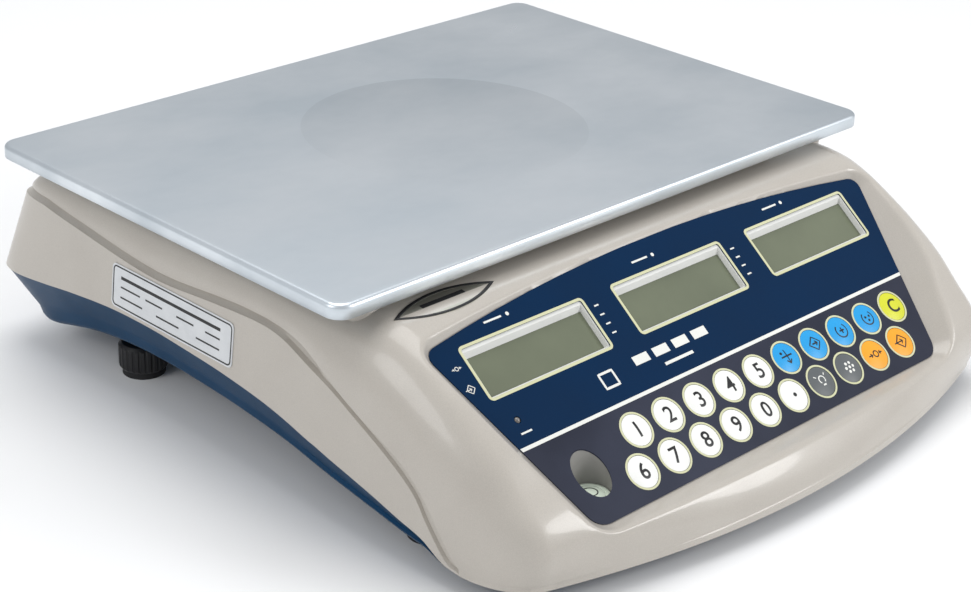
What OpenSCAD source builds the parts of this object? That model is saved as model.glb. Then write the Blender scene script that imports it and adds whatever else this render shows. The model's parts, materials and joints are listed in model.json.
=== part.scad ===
// Bench counting scale: steel pan on a single-point load cell, grey upper housing with a
// sloping key and display panel, blue arched base on four levelling feet.
// +Z up, front towards -Y, origin at the middle of the footprint on the standing surface.

/* [Body] */
// Width of the body over its side walls at the parting line
body_w = 330; // [320:1:400]
// Depth of the body from the front lip to the rear wall
body_d = 367; // [350:1:440]
// Height of the flat deck under the pan
deck_z = 93.7; // [93:0.1:97]
// Width of the raised deck
deck_w = 304; // [280:1:306]
// Wall of the upper housing
wall = 2.6; // [2:0.1:3]
// Wall of the base
base_wall = 2.5; // [2:0.1:3]
// How far the cheeks lean out for each millimetre of height lost
draft = 0.1; // [0.05:0.01:0.12]
// Gap at the parting line between the two housings
seam = 0.15; // [0.1:0.05:0.4]

/* [Pan] */
// Width of the pan
pan_w = 340; // [336:1:420]
// Depth of the pan
pan_d = 235; // [220:1:300]
// Height of the weighing surface
pan_z = 105; // [104.5:0.1:108]
// Sheet thickness of the pan
pan_t = 1.5; // [1:0.1:2]
// Height of the turned-down rim
pan_rim = 6.6; // [5:0.1:8]
// Plan radius of the pan's corners
pan_r = 8; // [5:1:16]
// Diameter of the round pressing in the middle
dish_dia = 136; // [100:1:160]
// Depth of the round pressing
dish_deep = 0.9; // [0.5:0.1:1.2]

/* [Panel] */
// Tilt of the panel from the horizontal, in degrees
tilt = 38.1; // [36:0.1:40]
// Distance from the front lip back to the upper key row
panel_d = 45.4; // [44:0.1:48]
// Height of the upper key row
panel_z = 43.8; // [42:0.1:46]
// Half width of the overlay at its upper corners
overlay_top = 142; // [130:1:144]
// Half width of the overlay at its lower corners
overlay_low = 117.5; // [105:1:118]
// Slope distance from the upper key row to the overlay's highest point
overlay_rise = 75.5; // [74:0.5:76]
// Slope distance from the upper key row to the overlay's lower edge
overlay_fall = 29; // [28:0.5:30]
// Thickness of the overlay film
film = 0.5; // [0.3:0.1:0.8]
// Thickness of the panel behind the film
panel_t = 2.5; // [2:0.1:3]
// Slope distance from the upper key row to the stripe's lower edge
stripe_at = 11.6; // [10.5:0.1:12]
// Width of the stripe
stripe_w = 1.6; // [1.2:0.1:3]

/* [Keys] */
// Pitch of the keys along a row
key_pitch = 19.77; // [18:0.01:20]
// Slope distance between the two rows
row_pitch = 16.5; // [16:0.1:18]
// Radius of a key cap
key_r = 7.2; // [6:0.1:7.4]
// Clearance round a key cap
key_gap = 0.2; // [0.1:0.05:0.3]
// Outer radius of the printed ring round a key
ring_r = 8.3; // [7.9:0.1:8.6]
// Travel of a key
key_travel = 0.5; // [0.3:0.1:0.7]
// Height of a key's dome over the overlay
key_dome = 1; // [0.6:0.1:1.6]

/* [Displays] */
// Width of a window inside its trim
window_w = 70.3; // [60:0.1:74]
// Height of a window inside its trim
window_h = 23.6; // [20:0.1:26]
// Slope distance from the upper key row to the windows' middle
window_at = 48.4; // [46:0.1:50]
// Distance between the windows' middles
window_pitch = 90; // [86:0.5:92]
// Width of the printed trim round a window
trim = 1.25; // [0.8:0.05:2]
// Depth from the overlay to the display glass
glass_deep = 3; // [2.5:0.1:4]

/* [Level and lamp] */
// Bore radius of the level well
level_r = 8.6; // [7:0.1:9]
// Distance of the well from the middle
level_x = 103; // [96:0.5:104]
// Slope distance of the well below the upper key row
level_at = 7.6; // [6:0.1:9]
// Height of the vial's face
level_z = 30.5; // [28:0.5:31]
// Radius of the charge lamp
lamp_r = 1.6; // [1:0.1:2.5]
// Distance of the lamp from the middle
lamp_x = 120; // [110:0.5:122]
// Slope distance of the lamp above the upper key row
lamp_at = 24.5; // [18:0.5:30]

/* [Feet] */
// Distance between the feet across the body
foot_span = 274; // [240:1:280]
// Distance of the front feet from the front lip
foot_front = 95; // [90:1:120]
// Distance of the rear feet from the rear wall
foot_rear = 77; // [60:1:100]
// Radius of the foot's knob
foot_r = 11.5; // [9:0.5:13]
// Height of the sole under the knob
sole_h = 3; // [2:0.5:4]
// Height of the knob's top over the floor
knob_top = 16; // [14:0.5:17]
// Radius of the foot's stud
stud_r = 4; // [3:0.5:5]
// Radial clearance of the stud in its boss
stud_gap = 0.08; // [0.02:0.01:0.1]

/* [Load cell] */
// Length of the load cell
cell_l = 130; // [120:1:150]
// Width of the load cell
cell_w = 30; // [22:1:40]
// Height of the load cell
cell_h = 22; // [18:1:25]
// Height of the chassis plate's underside
chassis_z = 31; // [30.5:0.5:33]
// Thickness of the chassis plate
chassis_t = 2; // [1.5:0.5:3]
// Height of the seat under the cell's fixed end
seat_h = 3; // [2:0.5:4]
// Clearance of the post in the deck opening
post_gap = 3; // [2:0.5:3]

/* [Power] */
// Length of the battery
battery_l = 101; // [90:1:110]
// Width of the battery
battery_w = 70; // [60:1:80]
// Height of the battery
battery_h = 47; // [40:1:50]
// Barrel radius of the DC inlet
inlet_r = 2.8; // [2.6:0.1:3.4]
// Swing of the power rocker, in degrees
rocker_swing = 20; // [12:1:26]

/* [Hidden] */
$fn = 48;
eps = 0.02;
hw = body_w / 2;
front_y = -body_d / 2;
back_y = body_d / 2;
lip_z = 9;              // height of the hood's front lip
front_len = 123;        // front lip to the deck's front wall
part_z = 37;            // parting line height at the rear wall
rear_lean = 0.38;       // how far the rear wall leans for each millimetre of height
pan_y = front_y + 115 + pan_d / 2;
deck_back = body_d - 33;
panel_y = front_y + panel_d;

grey = [0.76, 0.745, 0.72];
blue = [0.08, 0.2, 0.37];
navy = [0.04, 0.13, 0.33];
slate = [0.2, 0.22, 0.29];
cream = [0.8, 0.8, 0.64];
white = [0.95, 0.95, 0.94];
steel = [0.8, 0.84, 0.87];
dark = [0.08, 0.08, 0.09];
board = [0.1, 0.35, 0.2];
brass = [0.75, 0.6, 0.3];

// Keys: name, column, row and colour. The lower row stands half a pitch to the left.
key_blue = [0.1, 0.62, 0.88];
key_grey = [0.33, 0.35, 0.36];
key_orange = [0.96, 0.64, 0.14];
KEYS = [
    ["key_1", 0, 0, white], ["key_2", 1, 0, white], ["key_3", 2, 0, white],
    ["key_4", 3, 0, white], ["key_5", 4, 0, white], ["key_pieces", 5, 0, key_blue],
    ["key_unit_weight", 6, 0, key_blue], ["key_memory_add", 7, 0, key_blue],
    ["key_memory_check", 8, 0, key_blue], ["key_clear", 9, 0, [0.82, 0.85, 0.16]],
    ["key_6", 0, 1, white], ["key_7", 1, 1, white], ["key_8", 2, 1, white],
    ["key_9", 3, 1, white], ["key_0", 4, 1, white], ["key_point", 5, 1, white],
    ["key_light", 6, 1, key_grey], ["key_sample", 7, 1, key_grey],
    ["key_zero", 8, 1, key_orange], ["key_tare", 9, 1, key_orange]
];
// Feet: name, side, and 1 for the rear pair
FEET = [["front_left", -1, 0], ["front_right", 1, 0], ["rear_left", -1, 1], ["rear_right", 1, 1]];
DISPLAYS = [["left_display", -1], ["middle_display", 0], ["right_display", 1]];

// ---- curves ----

// Value at u of a smooth curve through points [u, value], with flat tangents beyond its ends
function span(p, u, i = 0) = i >= len(p) - 2 || u < p[i + 1][0] ? i : span(p, u, i + 1);
function slope(p, i) =
    i == 0 ? (p[1][1] - p[0][1]) / (p[1][0] - p[0][0])
    : i == len(p) - 1 ? (p[i][1] - p[i - 1][1]) / (p[i][0] - p[i - 1][0])
    : (p[i + 1][1] - p[i - 1][1]) / (p[i + 1][0] - p[i - 1][0]);
function curve(p, u) =
    let (i = span(p, u), g = p[i + 1][0] - p[i][0], t = max(0, min(1, (u - p[i][0]) / g)),
         a = p[i][1], b = p[i + 1][1], m = slope(p, i) * g, n = slope(p, i + 1) * g)
    a * (2 * t * t * t - 3 * t * t + 1) + m * (t * t * t - 2 * t * t + t)
    + b * (3 * t * t - 2 * t * t * t) + n * (t * t * t - t * t);

// Distance d from the front lip, stretched behind the deck's front wall with the body's depth
function reach(d) = d <= front_len ? d : front_len + (d - front_len) * (body_d - front_len) / 244;

// Solid through a list of equal closed rings; the first and last rings are flat
module loft(rings) {
    n = len(rings[0]);
    m = len(rings);
    polyhedron(
        points = [for (r = rings) for (p = r) p],
        faces = concat(
            [[for (i = [0 : n - 1]) i]],
            [for (j = [0 : m - 2]) for (i = [0 : n - 1]) let (k = (i + 1) % n)
                [j * n + i, (j + 1) * n + k, j * n + k]],
            [for (j = [0 : m - 2]) for (i = [0 : n - 1]) let (k = (i + 1) % n)
                [j * n + i, (j + 1) * n + i, (j + 1) * n + k]],
            [[for (i = [0 : n - 1]) (m - 1) * n + n - 1 - i]]
        ),
        convexity = 8
    );
}

// ---- body lines, by distance from the front lip ----

shoulder_line = [[54, 11.4], [58.6, 16], [66, 26], [72.5, 34.4], [84, 45], [100.5, 53.5], [119.5, 62],
                 [133, 68.5], [146, 74], [162, 76.5], [188, 76.5], [202, 75.5], [246, 72.5],
                 [303, 77], [342, 80]];
cheek_line = [[54, 9.9], [61, 12.4], [72, 24], [80, 34], [94, 44], [113.5, 54.5], [128.6, 62], [144, 68],
              [160, 73.5], [174, 75], [202, 73.5], [246, 70.5], [303, 75], [342, 78]];
seam_line = [[54, 9], [63, 11], [74, 17], [87, 21], [103, 26], [126, 32], [161, 40], [194, 44],
             [222, 45.7], [247, 46.6], [275, 46], [306, 43], [328, 40], [353, 37], [367, 37]];
arch_line = [[0, 9.5], [56, 9.5], [85, 10.4], [125, 15.5], [175, 21.5], [225, 24.8], [265, 24.8],
             [300, 21.5], [330, 16], [355, 10.8], [367, 10]];
function line_at(line, d) = curve([for (p = line) [reach(p[0]), p[1]]], d);

// Half width of the cheek at distance d and height z
function cheek_x(d, z) = hw - draft * (z - part_z - 1) - 6.8 * pow(max(0, 144 - d) / 90, 1.5);
// Half width of the hood's and shoulder's outer edge
hood_edge = [[54, 0.2], [70, 1.8], [100, 2.4], [125, 1.6], [150, -0.6], [175, -2.2],
             [230, -2.4], [367, -2.4]];
function edge_x(d, z) = cheek_x(d, z) + line_at(hood_edge, d);

// ---- upper housing stations ----
// Middle distance, bulge of the arc at the side, further set-back of the corner, height, flat half width
hood_rows = [
    [0, 29.3, 24.7, 9, 118], [1.6, 26, 27.4, 13.6, 118], [5, 19.6, 32, 20, 119],
    [10.4, 12, 37.6, 27, 121], [16.5, 7, 41, 33, 123], [23.5, 4, 42.5, 38.9, 126],
    [35, 2, 39, 48.2, 130], [49, 0, 34.5, 60.2, 134], [66, 0, 28, 71.8, 138],
    [81, 0, 22, 80.2, 140], [93, 0, 17, 86.6, 140], [105, 0, 12, 91.2, 140],
    [115, 0, 7, 92.8, 140], [123, 0, 2, 93.2, 140], [135, 0, 0, 93.2, 140]
];
// Distance in front of the rear wall, set-in of the side, height, share of the rear wall's lean
rear_rows = [
    [190, 0, 93.2, 0], [160, 0, 93.2, 0], [130, 0, 93.2, 0], [100, 0, 93.2, 0], [75, 0, 93.2, 0.05],
    [52, 0.1, 93.2, 0.3], [34, 0.3, 93.2, 0.6], [20, 0.7, 93, 0.85], [11, 1.5, 92, 0.96],
    [5.5, 2.8, 89.8, 1], [2, 4.6, 86.2, 1], [0, 7, 81, 1]
];
// Share of the corner's set-back at half-width share q: a quarter ellipse near the side
function corner(q) = let (a = max(0, (q - 0.894) / 0.106)) 1 - sqrt(max(0, 1 - a * a));

flat_steps = 4;
roll_steps = 6;
// Right-hand half of a hood station, inset by t, from the middle outwards
function hood_half(r, t) =
    let (d = r[0] + 1.15 * t, dside = d + r[1] + r[2],
         e = line_at(shoulder_line, dside) - t, c = line_at(cheek_line, dside) - t * 0.5,
         b = line_at(seam_line, dside) - 3 * t, top = max(r[3] - t, e),
         xe = edge_x(dside, e) - t, xf = min(r[4], xe - 3))
    concat(
        [for (i = [0 : flat_steps - 1]) let (x = xf * i / flat_steps)
            [x, front_y + d + r[1] * pow(x / xe, 2), top]],
        [for (i = [0 : roll_steps]) let (a = 90 * i / roll_steps, x = xf + (xe - xf) * sin(a))
            [x, front_y + d + r[1] * pow(x / xe, 2) + r[2] * corner(x / xe),
             e + (top - e) * cos(a)]],
        [for (p = [[cheek_x(dside, e) - 0.6 - t, max(e - 0.5, b)],
                   [cheek_x(dside, c) - 0.5 - t, max(c + 0.9, b)],
                   [cheek_x(dside, c) - t, max(c - 0.6, b)], [cheek_x(dside, b) - t, b]])
            [min(p[0], hw - t), front_y + dside, p[1]]]
    );
// Right-hand half of a rear station, inset by t
function rear_half(r, t) =
    let (d = body_d - r[0] - 1.2 * t * r[3], top = r[2] - t, w = r[1],
         e = min(line_at(shoulder_line, d) - t, top - 1),
         c = min(line_at(cheek_line, d) - t * 0.5, e - 1),
         b = line_at(seam_line, d) - 3 * t, xe = edge_x(d, e) - w - t, xf = min(140, xe - 6 - w))
    [for (p = concat(
        [for (i = [0 : flat_steps - 1]) [xf * i / flat_steps, top]],
        [for (i = [0 : roll_steps]) let (a = 90 * i / roll_steps)
            [xf + (xe - xf) * sin(a), e + (top - e) * cos(a)]],
        [[cheek_x(d, e) - 1.8 - w - t, e - 0.4], [cheek_x(d, c) - 0.7 - w - t, c + 0.8],
         [cheek_x(d, c) - w - t, c - 0.4], [cheek_x(d, b) - w - t, b]]))
        [p[0], front_y + d - r[3] * rear_lean * (p[1] - part_z), p[1]]];
function ring(half) =
    concat([for (i = [len(half) - 1 : -1 : 1]) let (p = half[i]) [-p[0], p[1], p[2]]], half);
function skin(t, rows) = concat(
    [for (i = [1 : len(rows) - 1]) ring(hood_half(rows[i], t))],
    [for (r = rear_rows) ring(rear_half(r, t))]
);
// Flat first ring: the outline of the lip at height z
function lip_half(h, n) = [for (i = [0 : len(h) - 1])
    i < n ? h[i] : [h[n - 1][0] - 0.3 * (i - n + 1), h[n - 1][1], 0]];
function lip(t, z) = lift(ring(lip_half(hood_half(hood_rows[0], t), flat_steps + roll_steps + 1)), z);
function lift(points, z) = [for (p = points) [p[0], p[1], z]];

module body_solid() loft(concat([lip(0, lip_z)], skin(0, hood_rows)));
module body_hollow() loft(concat([lip(wall, lip_z - 6)], skin(wall, hood_rows)));

// ---- panel frame: X across, Y up the slope, Z out of the overlay; origin on the upper key row ----

module on_panel() translate([0, panel_y, panel_z]) rotate([tilt, 0, 0]) children();

// Overlay outline grown by g: straight sides, arched top edge, rounded corners
corner_top = 5;
corner_low = 9;
arch_r = 909;
side_tilt = -atan((overlay_top - overlay_low) / 84);
function arc_at(c, r, a0, a1, n) =
    [for (i = [0 : n]) let (a = a0 + (a1 - a0) * i / n) c + r * [cos(a), sin(a)]];
function half_outline(g) =
    let (lean = asin((overlay_top - corner_top - 1) / (arch_r - corner_top)),
         crown = overlay_rise - arch_r,
         corner_y = crown + (arch_r - corner_top) * cos(lean))
    concat(
        arc_at([overlay_low - corner_low, corner_low - overlay_fall], corner_low + g, -90, side_tilt, 6),
        arc_at([overlay_top - corner_top - 1, corner_y], corner_top + g, side_tilt, 90 - lean, 4),
        arc_at([0, crown], arch_r + g, 90 - lean, 90 - lean / 8, 6)
    );
function outline(g) = let (h = half_outline(g))
    concat(h, [for (i = [len(h) - 1 : -1 : 0]) [-h[i][0], h[i][1]]]);

// Everything above the recess floor, widening as it rises; the film lies on the floor
recess_up = 16;
module recess() on_panel()
    loft([lift(outline(0.15), -film), lift(outline(0.15), 0.1), lift(outline(recess_up), recess_up)]);
// Block under the recess that carries the film
module recess_bed() on_panel()
    loft([lift(outline(wall + 0.6), -film - panel_t), lift(outline(recess_up + wall), recess_up)]);

module key_sites(only = -1)
    for (k = KEYS) if (only < 0 || only == k[2])
        translate([(k[1] - 3.515 - k[2] / 2) * key_pitch, -k[2] * row_pitch]) children();

// Round-cornered rectangle centred on the origin
module slab(w, h, r, t) linear_extrude(t) plate_2d(w, h, r);
module plate_2d(w, h, r) {
    square([w - 2 * r, h], center = true);
    square([w, h - 2 * r], center = true);
    for (x = [-1, 1]) for (y = [-1, 1]) translate([x * (w / 2 - r), y * (h / 2 - r)]) circle(r);
}
module window_sites() for (d = DISPLAYS) translate([d[1] * window_pitch, window_at]) children();

// ---- shared places ----

cell_y = pan_y;
post_y = cell_y + cell_l / 2 - 20;
clamp_y = cell_y - cell_l / 2 + 20;
seat_z = chassis_z + chassis_t + seat_h;
cell_top = seat_z + cell_h;
spider_z = deck_z + 2;
spider_t = 5;
pan_under = pan_z - pan_t;
post_w = cell_w;
post_d = 30;
pad_x = pan_w / 2 - 42;
pad_y = pan_d / 2 - 34;
pad_r = 8;
m6 = 3;                 // radius of the load cell's screws
m6_pitch = 16;
m6_head = 5;
fit = 0.06;             // radial gap round a screw
chassis_w = 80;
chassis_l = 184;
chassis_sites = [for (x = [-33, 33]) for (y = [-84, 84]) [x, cell_y + y]];
foot_x = foot_span / 2;
foot_ys = [front_y + foot_front, back_y - foot_rear];
boss_r = foot_r + 5;
boss_top = 32;
pocket_z = knob_top + 3;
battery_x = 83;
battery_y = cell_y - 2;
door_w = battery_w + 16;
door_l = battery_l + 16;
door_z = 24.9;
door_t = 2.3;
door_rim = 3;
door_sites = [for (x = [-1, 1]) for (y = [-1, 1])
    [battery_x + x * (battery_w / 2 + 4), battery_y + y * (battery_l / 2 + 4)]];
board_x = -87;
board_y = cell_y + 4;
board_w = 78;
board_l = 120;
board_z = 38;
board_t = 1.6;
board_sites = [for (x = [-1, 1]) for (y = [-1, 1])
    [board_x + x * (board_w / 2 - 5), board_y + y * (board_l / 2 - 5)]];
screw_r = 1.35;
screw_head = 2.9;
// Case screw posts: place and the height where the two housings' posts meet
POSTS = [for (x = [-1, 1]) each [[x * (hw - 27), front_y + front_len + 1, 36],
    [x * 60, front_y + 15.5, 19], [x * (hw - 35), back_y - 35, 42]]];
post_r = 4.5;
wall_angle = atan(rear_lean);
switch_x = 96;
inlet_x = 60;
rear_fit_z = 60;
rocker_w = 13;
rocker_l = 19;
rocker_pivot = -1;      // height of the rocker's pivot over the wall
pin_r = 0.9;            // the rocker's two pivot pins
pin_span = 12;
inlet_wall = 2.4;

// Frame on the rear wall: X across, Y up the wall, Z out of it
module on_rear(x) translate([x, back_y - rear_lean * (rear_fit_z - part_z), rear_fit_z])
    rotate([0, 0, 180]) rotate([90 - wall_angle, 0, 0]) children();
function arch_z(y) = line_at(arch_line, y - front_y);
// Tapped or clearance screw with its head at z = 0 and its shank upwards
module screw(r, head_r, head_h, len) {
    translate([0, 0, -head_h]) cylinder(r = head_r, h = head_h);
    translate([0, 0, -eps]) cylinder(r = r, h = len + eps);
}

// ---- housings ----

module upper_housing() color(grey) difference() {
    shell();
    deck_opening();
    panel_openings();
    for (p = POSTS) translate([p[0], p[1], p[2] - 1]) cylinder(r = screw_r + fit, h = 5.2);
    rear_cutouts();
    badge_pocket();
}
// Skin with the raised deck and the panel's bed, and the tapered posts moulded inside it
module shell() union() {
    difference() {
        union() {
            body_solid();
            deck(0);
        }
        difference() {
            union() {
                body_hollow();
                deck(wall);
            }
            recess_bed();
        }
        recess();
    }
    for (p = POSTS) translate(p) taper_post(post_r, p[2] < 30 ? 5 : deck_z - 1.2 - p[2]);
    on_panel() for (p = board_fixings)
        translate([p[0], p[1], board_h]) taper_post(2.6, -board_h - film - 0.5);
}
module taper_post(r, h) hull() {
    cylinder(r = r, h = 0.5, $fn = 20);
    translate([0, 0, h - 0.5]) cylinder(r = r + 0.6, h = 0.5, $fn = 20);
}
module deck(t) translate([0, front_y + (front_len + deck_back) / 2, deck_z - 8 - t])
    slab(deck_w - 2 * t, deck_back - front_len - 2 * t, 6 - t, 8);
module deck_opening() translate([0, post_y, deck_z - 20])
    slab(post_w + 2 * post_gap, post_d + 2 * post_gap, 6, 40);
// Pocket round each row of keys, grown by g
module row_pockets(g, t) for (row = [0, 1]) translate([(0.985 - row / 2) * key_pitch, -row * row_pitch])
    slab(9 * key_pitch + 19.2 + 2 * g, 19.2 + 2 * g, 5, t);
module panel_openings() {
    on_panel() window_sites() translate([0, 0, -12]) slab(window_w + 0.3, window_h + 0.3, 1.5, 14);
    on_panel() translate([0, 0, -12]) row_pockets(0, 14);
    on_panel() translate([-lamp_x, lamp_at, -12]) cylinder(r = lamp_r + 0.1, h = 14);
    at_level() cylinder(r = level_r + 1.4, h = 60);
}
module at_level() translate([-level_x, panel_y - level_at * cos(tilt), level_z - 6]) children();
board_fixings = [for (x = [-45, 45]) for (y = [38, 59]) [x, y]];
module rear_cutouts() {
    on_rear(switch_x) translate([0, 0, -10]) slab(rocker_w + 0.3, rocker_l + 0.3, 1, 20);
    on_rear(inlet_x) translate([0, 0, -10]) cylinder(r = inlet_r + inlet_wall + 0.1, h = 20);
}

// The base's floor plate fits inside the hood's lip, and its rim follows the seam line behind it
lip_plan = [for (q = [0.2, 0.35, 0.5, 0.62, 0.74, 0.84, 0.9, 0.94, 0.97, 0.99])
    [1.15 * wall + 1.9 + hood_rows[1][1] * q * q + hood_rows[1][2] * corner(q),
     q * (edge_x(54, lip_z) - wall) - 0.6]];
plate_top = 11.2;
base_slope = 0.42;      // how far the base's side walls lean in for each millimetre of drop
base_lean = 0.55;       // the same at the rear
function base_ring(d, x, b, y, t, lean) =
    let (a = line_at(arch_line, d), rim = t > 0 ? b + 8 : b,
         floor_x = x - base_slope * (b - a) - 0.1 * t)
    [for (p = [[x, rim], [floor_x, a + t], [-floor_x, a + t], [-x, rim]])
        [p[0], y - lean * base_lean * (b - min(p[1], b)), p[1]]];
function seam_ring(d, set_in, t, lean) = let (b = line_at(seam_line, d))
    base_ring(d, cheek_x(d, b) - 0.3 - set_in - t, b - seam,
        front_y + d - lean * rear_lean * (b - part_z) - (lean > 0 ? 0.2 + t : 0), t, lean);
hood_sides = [for (r = hood_rows) if (r[0] + r[1] + r[2] > 64) r[0] + r[1] + r[2]];
function base_stations(t) = concat(
    [for (p = lip_plan) base_ring(p[0] + t, p[1] - t, plate_top, front_y + p[0] + t, t, 0)],
    [base_ring(62, lip_plan[9][1] - t, 10.6, front_y + 62, t, 0)],
    [for (d = hood_sides) seam_ring(d, 0, t, 0)],
    [for (r = rear_rows) seam_ring(body_d - r[0], r[1], t, r[3])]);
// Everything under the middle of the base's floor plate
module under_floor() rotate([90, 0, 90]) translate([0, 0, -200]) linear_extrude(400)
    let (rings = base_stations(0), n = len(rings))
    polygon(concat([[front_y - 20, -30], [back_y + 20, -30], [back_y + 20, rings[n - 1][1][2]]],
        [for (i = [n - 1 : -1 : 0]) [rings[i][1][1], rings[i][1][2] + base_wall / 2]]));
module lower_housing() color(blue) difference() {
    union() {
        difference() {
            loft(base_stations(0));
            loft(base_stations(base_wall));
        }
        difference() {
            union() {
                for (y = foot_ys) for (x = [-1, 1])
                    translate([x * foot_x, y, 0]) cylinder(r = boss_r, h = boss_top);
                for (p = POSTS) translate([p[0], p[1], 0]) cylinder(r = post_r, h = p[2] - 0.2);
                for (p = chassis_sites) translate([p[0], p[1], 0]) cylinder(r = 5, h = chassis_z);
                for (p = board_sites) translate([p[0], p[1], 0]) cylinder(r = 3, h = board_z);
                translate([battery_x, battery_y, 0])
                    slab(door_w + 2 * door_rim, door_l + 2 * door_rim, 4, door_z + door_t + 2.5);
            }
            under_floor();
        }
    }
    for (y = foot_ys) for (x = [-1, 1]) translate([x * foot_x, y, -1]) {
        cylinder(r = foot_r + 2, h = pocket_z + 1);
        cylinder(r = stud_r + stud_gap, h = boss_top + 2);
    }
    for (p = POSTS) translate([p[0], p[1], 0]) {
        cylinder(r = screw_head + 0.3, h = p[2] - 8);
        cylinder(r = screw_r + 0.25, h = p[2] + 1);
    }
    for (p = concat(chassis_sites, board_sites))
        translate([p[0], p[1], board_z - 12]) cylinder(r = screw_r + fit, h = 14);
    translate([battery_x, battery_y, 0]) {
        slab(door_w + 0.4, door_l + 0.4, 3.2, door_z + door_t);
        slab(battery_w + 1, battery_l + 1, 2, 60);
    }
    for (p = door_sites) translate([p[0], p[1], door_z]) cylinder(r = screw_r + fit, h = 12);
}

// ---- weighing platform ----

module weighing_pan() color(steel) translate([0, pan_y, pan_z - pan_rim]) difference() {
    union() {
        difference() {
            slab(pan_w, pan_d, pan_r, pan_rim);
            translate([0, 0, -1])
                slab(pan_w - 2 * pan_t, pan_d - 2 * pan_t, pan_r - pan_t, pan_rim + 1 - pan_t);
        }
        translate([0, 0, pan_rim - pan_t - dish_deep]) cylinder(r = dish_dia / 2 + pan_t, h = pan_t);
    }
    translate([0, 0, pan_rim - dish_deep]) cylinder(r = dish_dia / 2, h = 3);
}
module platform_spider() color([0.7, 0.71, 0.72]) difference() {
    union() {
        translate([0, pan_y, spider_z]) linear_extrude(spider_t) {
            for (a = [-1, 1]) rotate(a * atan(pad_y / pad_x))
                square([2 * norm([pad_x, pad_y]), 20], center = true);
            for (x = [-1, 1]) for (y = [-1, 1]) translate([x * pad_x, y * pad_y]) circle(r = pad_r + 4);
            plate_2d(96, 110, 10);
        }
        translate([-post_w / 2, post_y - post_d / 2, cell_top])
            cube([post_w, post_d, spider_z - cell_top + spider_t]);
    }
    for (y = [-1, 1]) translate([0, post_y + y * m6_pitch / 2, 0]) {
        translate([0, 0, cell_top - 1]) cylinder(r = m6 + fit, h = 60);
        translate([0, 0, cell_top + 8]) cylinder(r = m6_head + 0.6, h = 60);
    }
    translate([-40, pan_y - 40, spider_z - 1]) cube([80, 40, spider_t + 2]);
}
module pan_pads() color(dark) for (x = [-1, 1]) for (y = [-1, 1])
    translate([x * pad_x, pan_y + y * pad_y, spider_z + spider_t])
        cylinder(r = pad_r, h = pan_under - spider_z - spider_t);
module platform_screws() color(brass) for (y = [-1, 1])
    translate([0, post_y + y * m6_pitch / 2, cell_top + 8]) mirror([0, 0, 1]) screw(m6, m6_head, 5, 18);
module load_cell() color([0.75, 0.77, 0.8]) difference() {
    translate([-cell_w / 2, cell_y - cell_l / 2, seat_z]) cube([cell_w, cell_l, cell_h]);
    for (y = [-1, 1]) translate([0, cell_y + y * 12, seat_z + cell_h / 2]) rotate([0, 90, 0])
        cylinder(r = cell_h * 0.36, h = cell_w + 2, center = true);
    translate([0, cell_y, seat_z + cell_h / 2]) cube([cell_w + 2, 24, 4], center = true);
    for (y = [-1, 1]) {
        translate([0, post_y + y * m6_pitch / 2, cell_top - 11]) cylinder(r = m6 + fit, h = 20);
        translate([0, clamp_y + y * m6_pitch / 2, seat_z - 1]) cylinder(r = m6 + fit, h = 12);
    }
}
module cell_screws() color(brass) for (y = [-1, 1])
    translate([0, clamp_y + y * m6_pitch / 2, chassis_z]) screw(m6, m6_head, 3.5, 14);
module chassis_plate() color([0.72, 0.72, 0.7]) difference() {
    union() {
        translate([0, cell_y, chassis_z]) slab(chassis_w, chassis_l, 5, chassis_t);
        translate([0, clamp_y, chassis_z + chassis_t - eps]) slab(cell_w, 36, 2, seat_h + eps);
    }
    for (y = [-1, 1])
        translate([0, clamp_y + y * m6_pitch / 2, chassis_z - 1]) cylinder(r = m6 + fit, h = 20);
    for (p = chassis_sites) translate([p[0], p[1], chassis_z - 1]) cylinder(r = screw_r + 0.25, h = 10);
}

// ---- panel ----

module film_part(up) on_panel() translate([0, 0, -film]) linear_extrude(film) intersection() {
    polygon(outline(0));
    translate([-200, stripe_at + stripe_w / 2 + (up ? 0.02 : -200.02)]) square([400, 200]);
}
module display_overlay() color(navy) difference() {
    film_part(true);
    on_panel() window_sites() translate([0, 0, -2]) slab(window_w, window_h, 1.2, 4);
    on_panel() translate([-lamp_x, lamp_at, -2]) cylinder(r = lamp_r, h = 4);
}
module keypad_overlay() color(slate) difference() {
    film_part(false);
    on_panel() translate([0, 0, -2]) key_sites() cylinder(r = key_r + key_gap, h = 4);
    at_level() cylinder(r = level_r, h = 60);
}
print_t = 0.12;
module overlay_stripe() color(white) on_panel() linear_extrude(print_t) intersection() {
    polygon(outline(-0.2));
    translate([-200, stripe_at]) square([400, stripe_w]);
}
module key_rings() color(cream) on_panel() key_sites() difference() {
    cylinder(r = ring_r, h = print_t);
    translate([0, 0, -1]) cylinder(r = key_r + key_gap, h = 3);
}
module window_trims() color(cream) on_panel() window_sites() difference() {
    slab(window_w + 2 * trim, window_h + 2 * trim, 2.4, print_t);
    translate([0, 0, -1]) slab(window_w, window_h, 1.2, 3);
}
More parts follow.
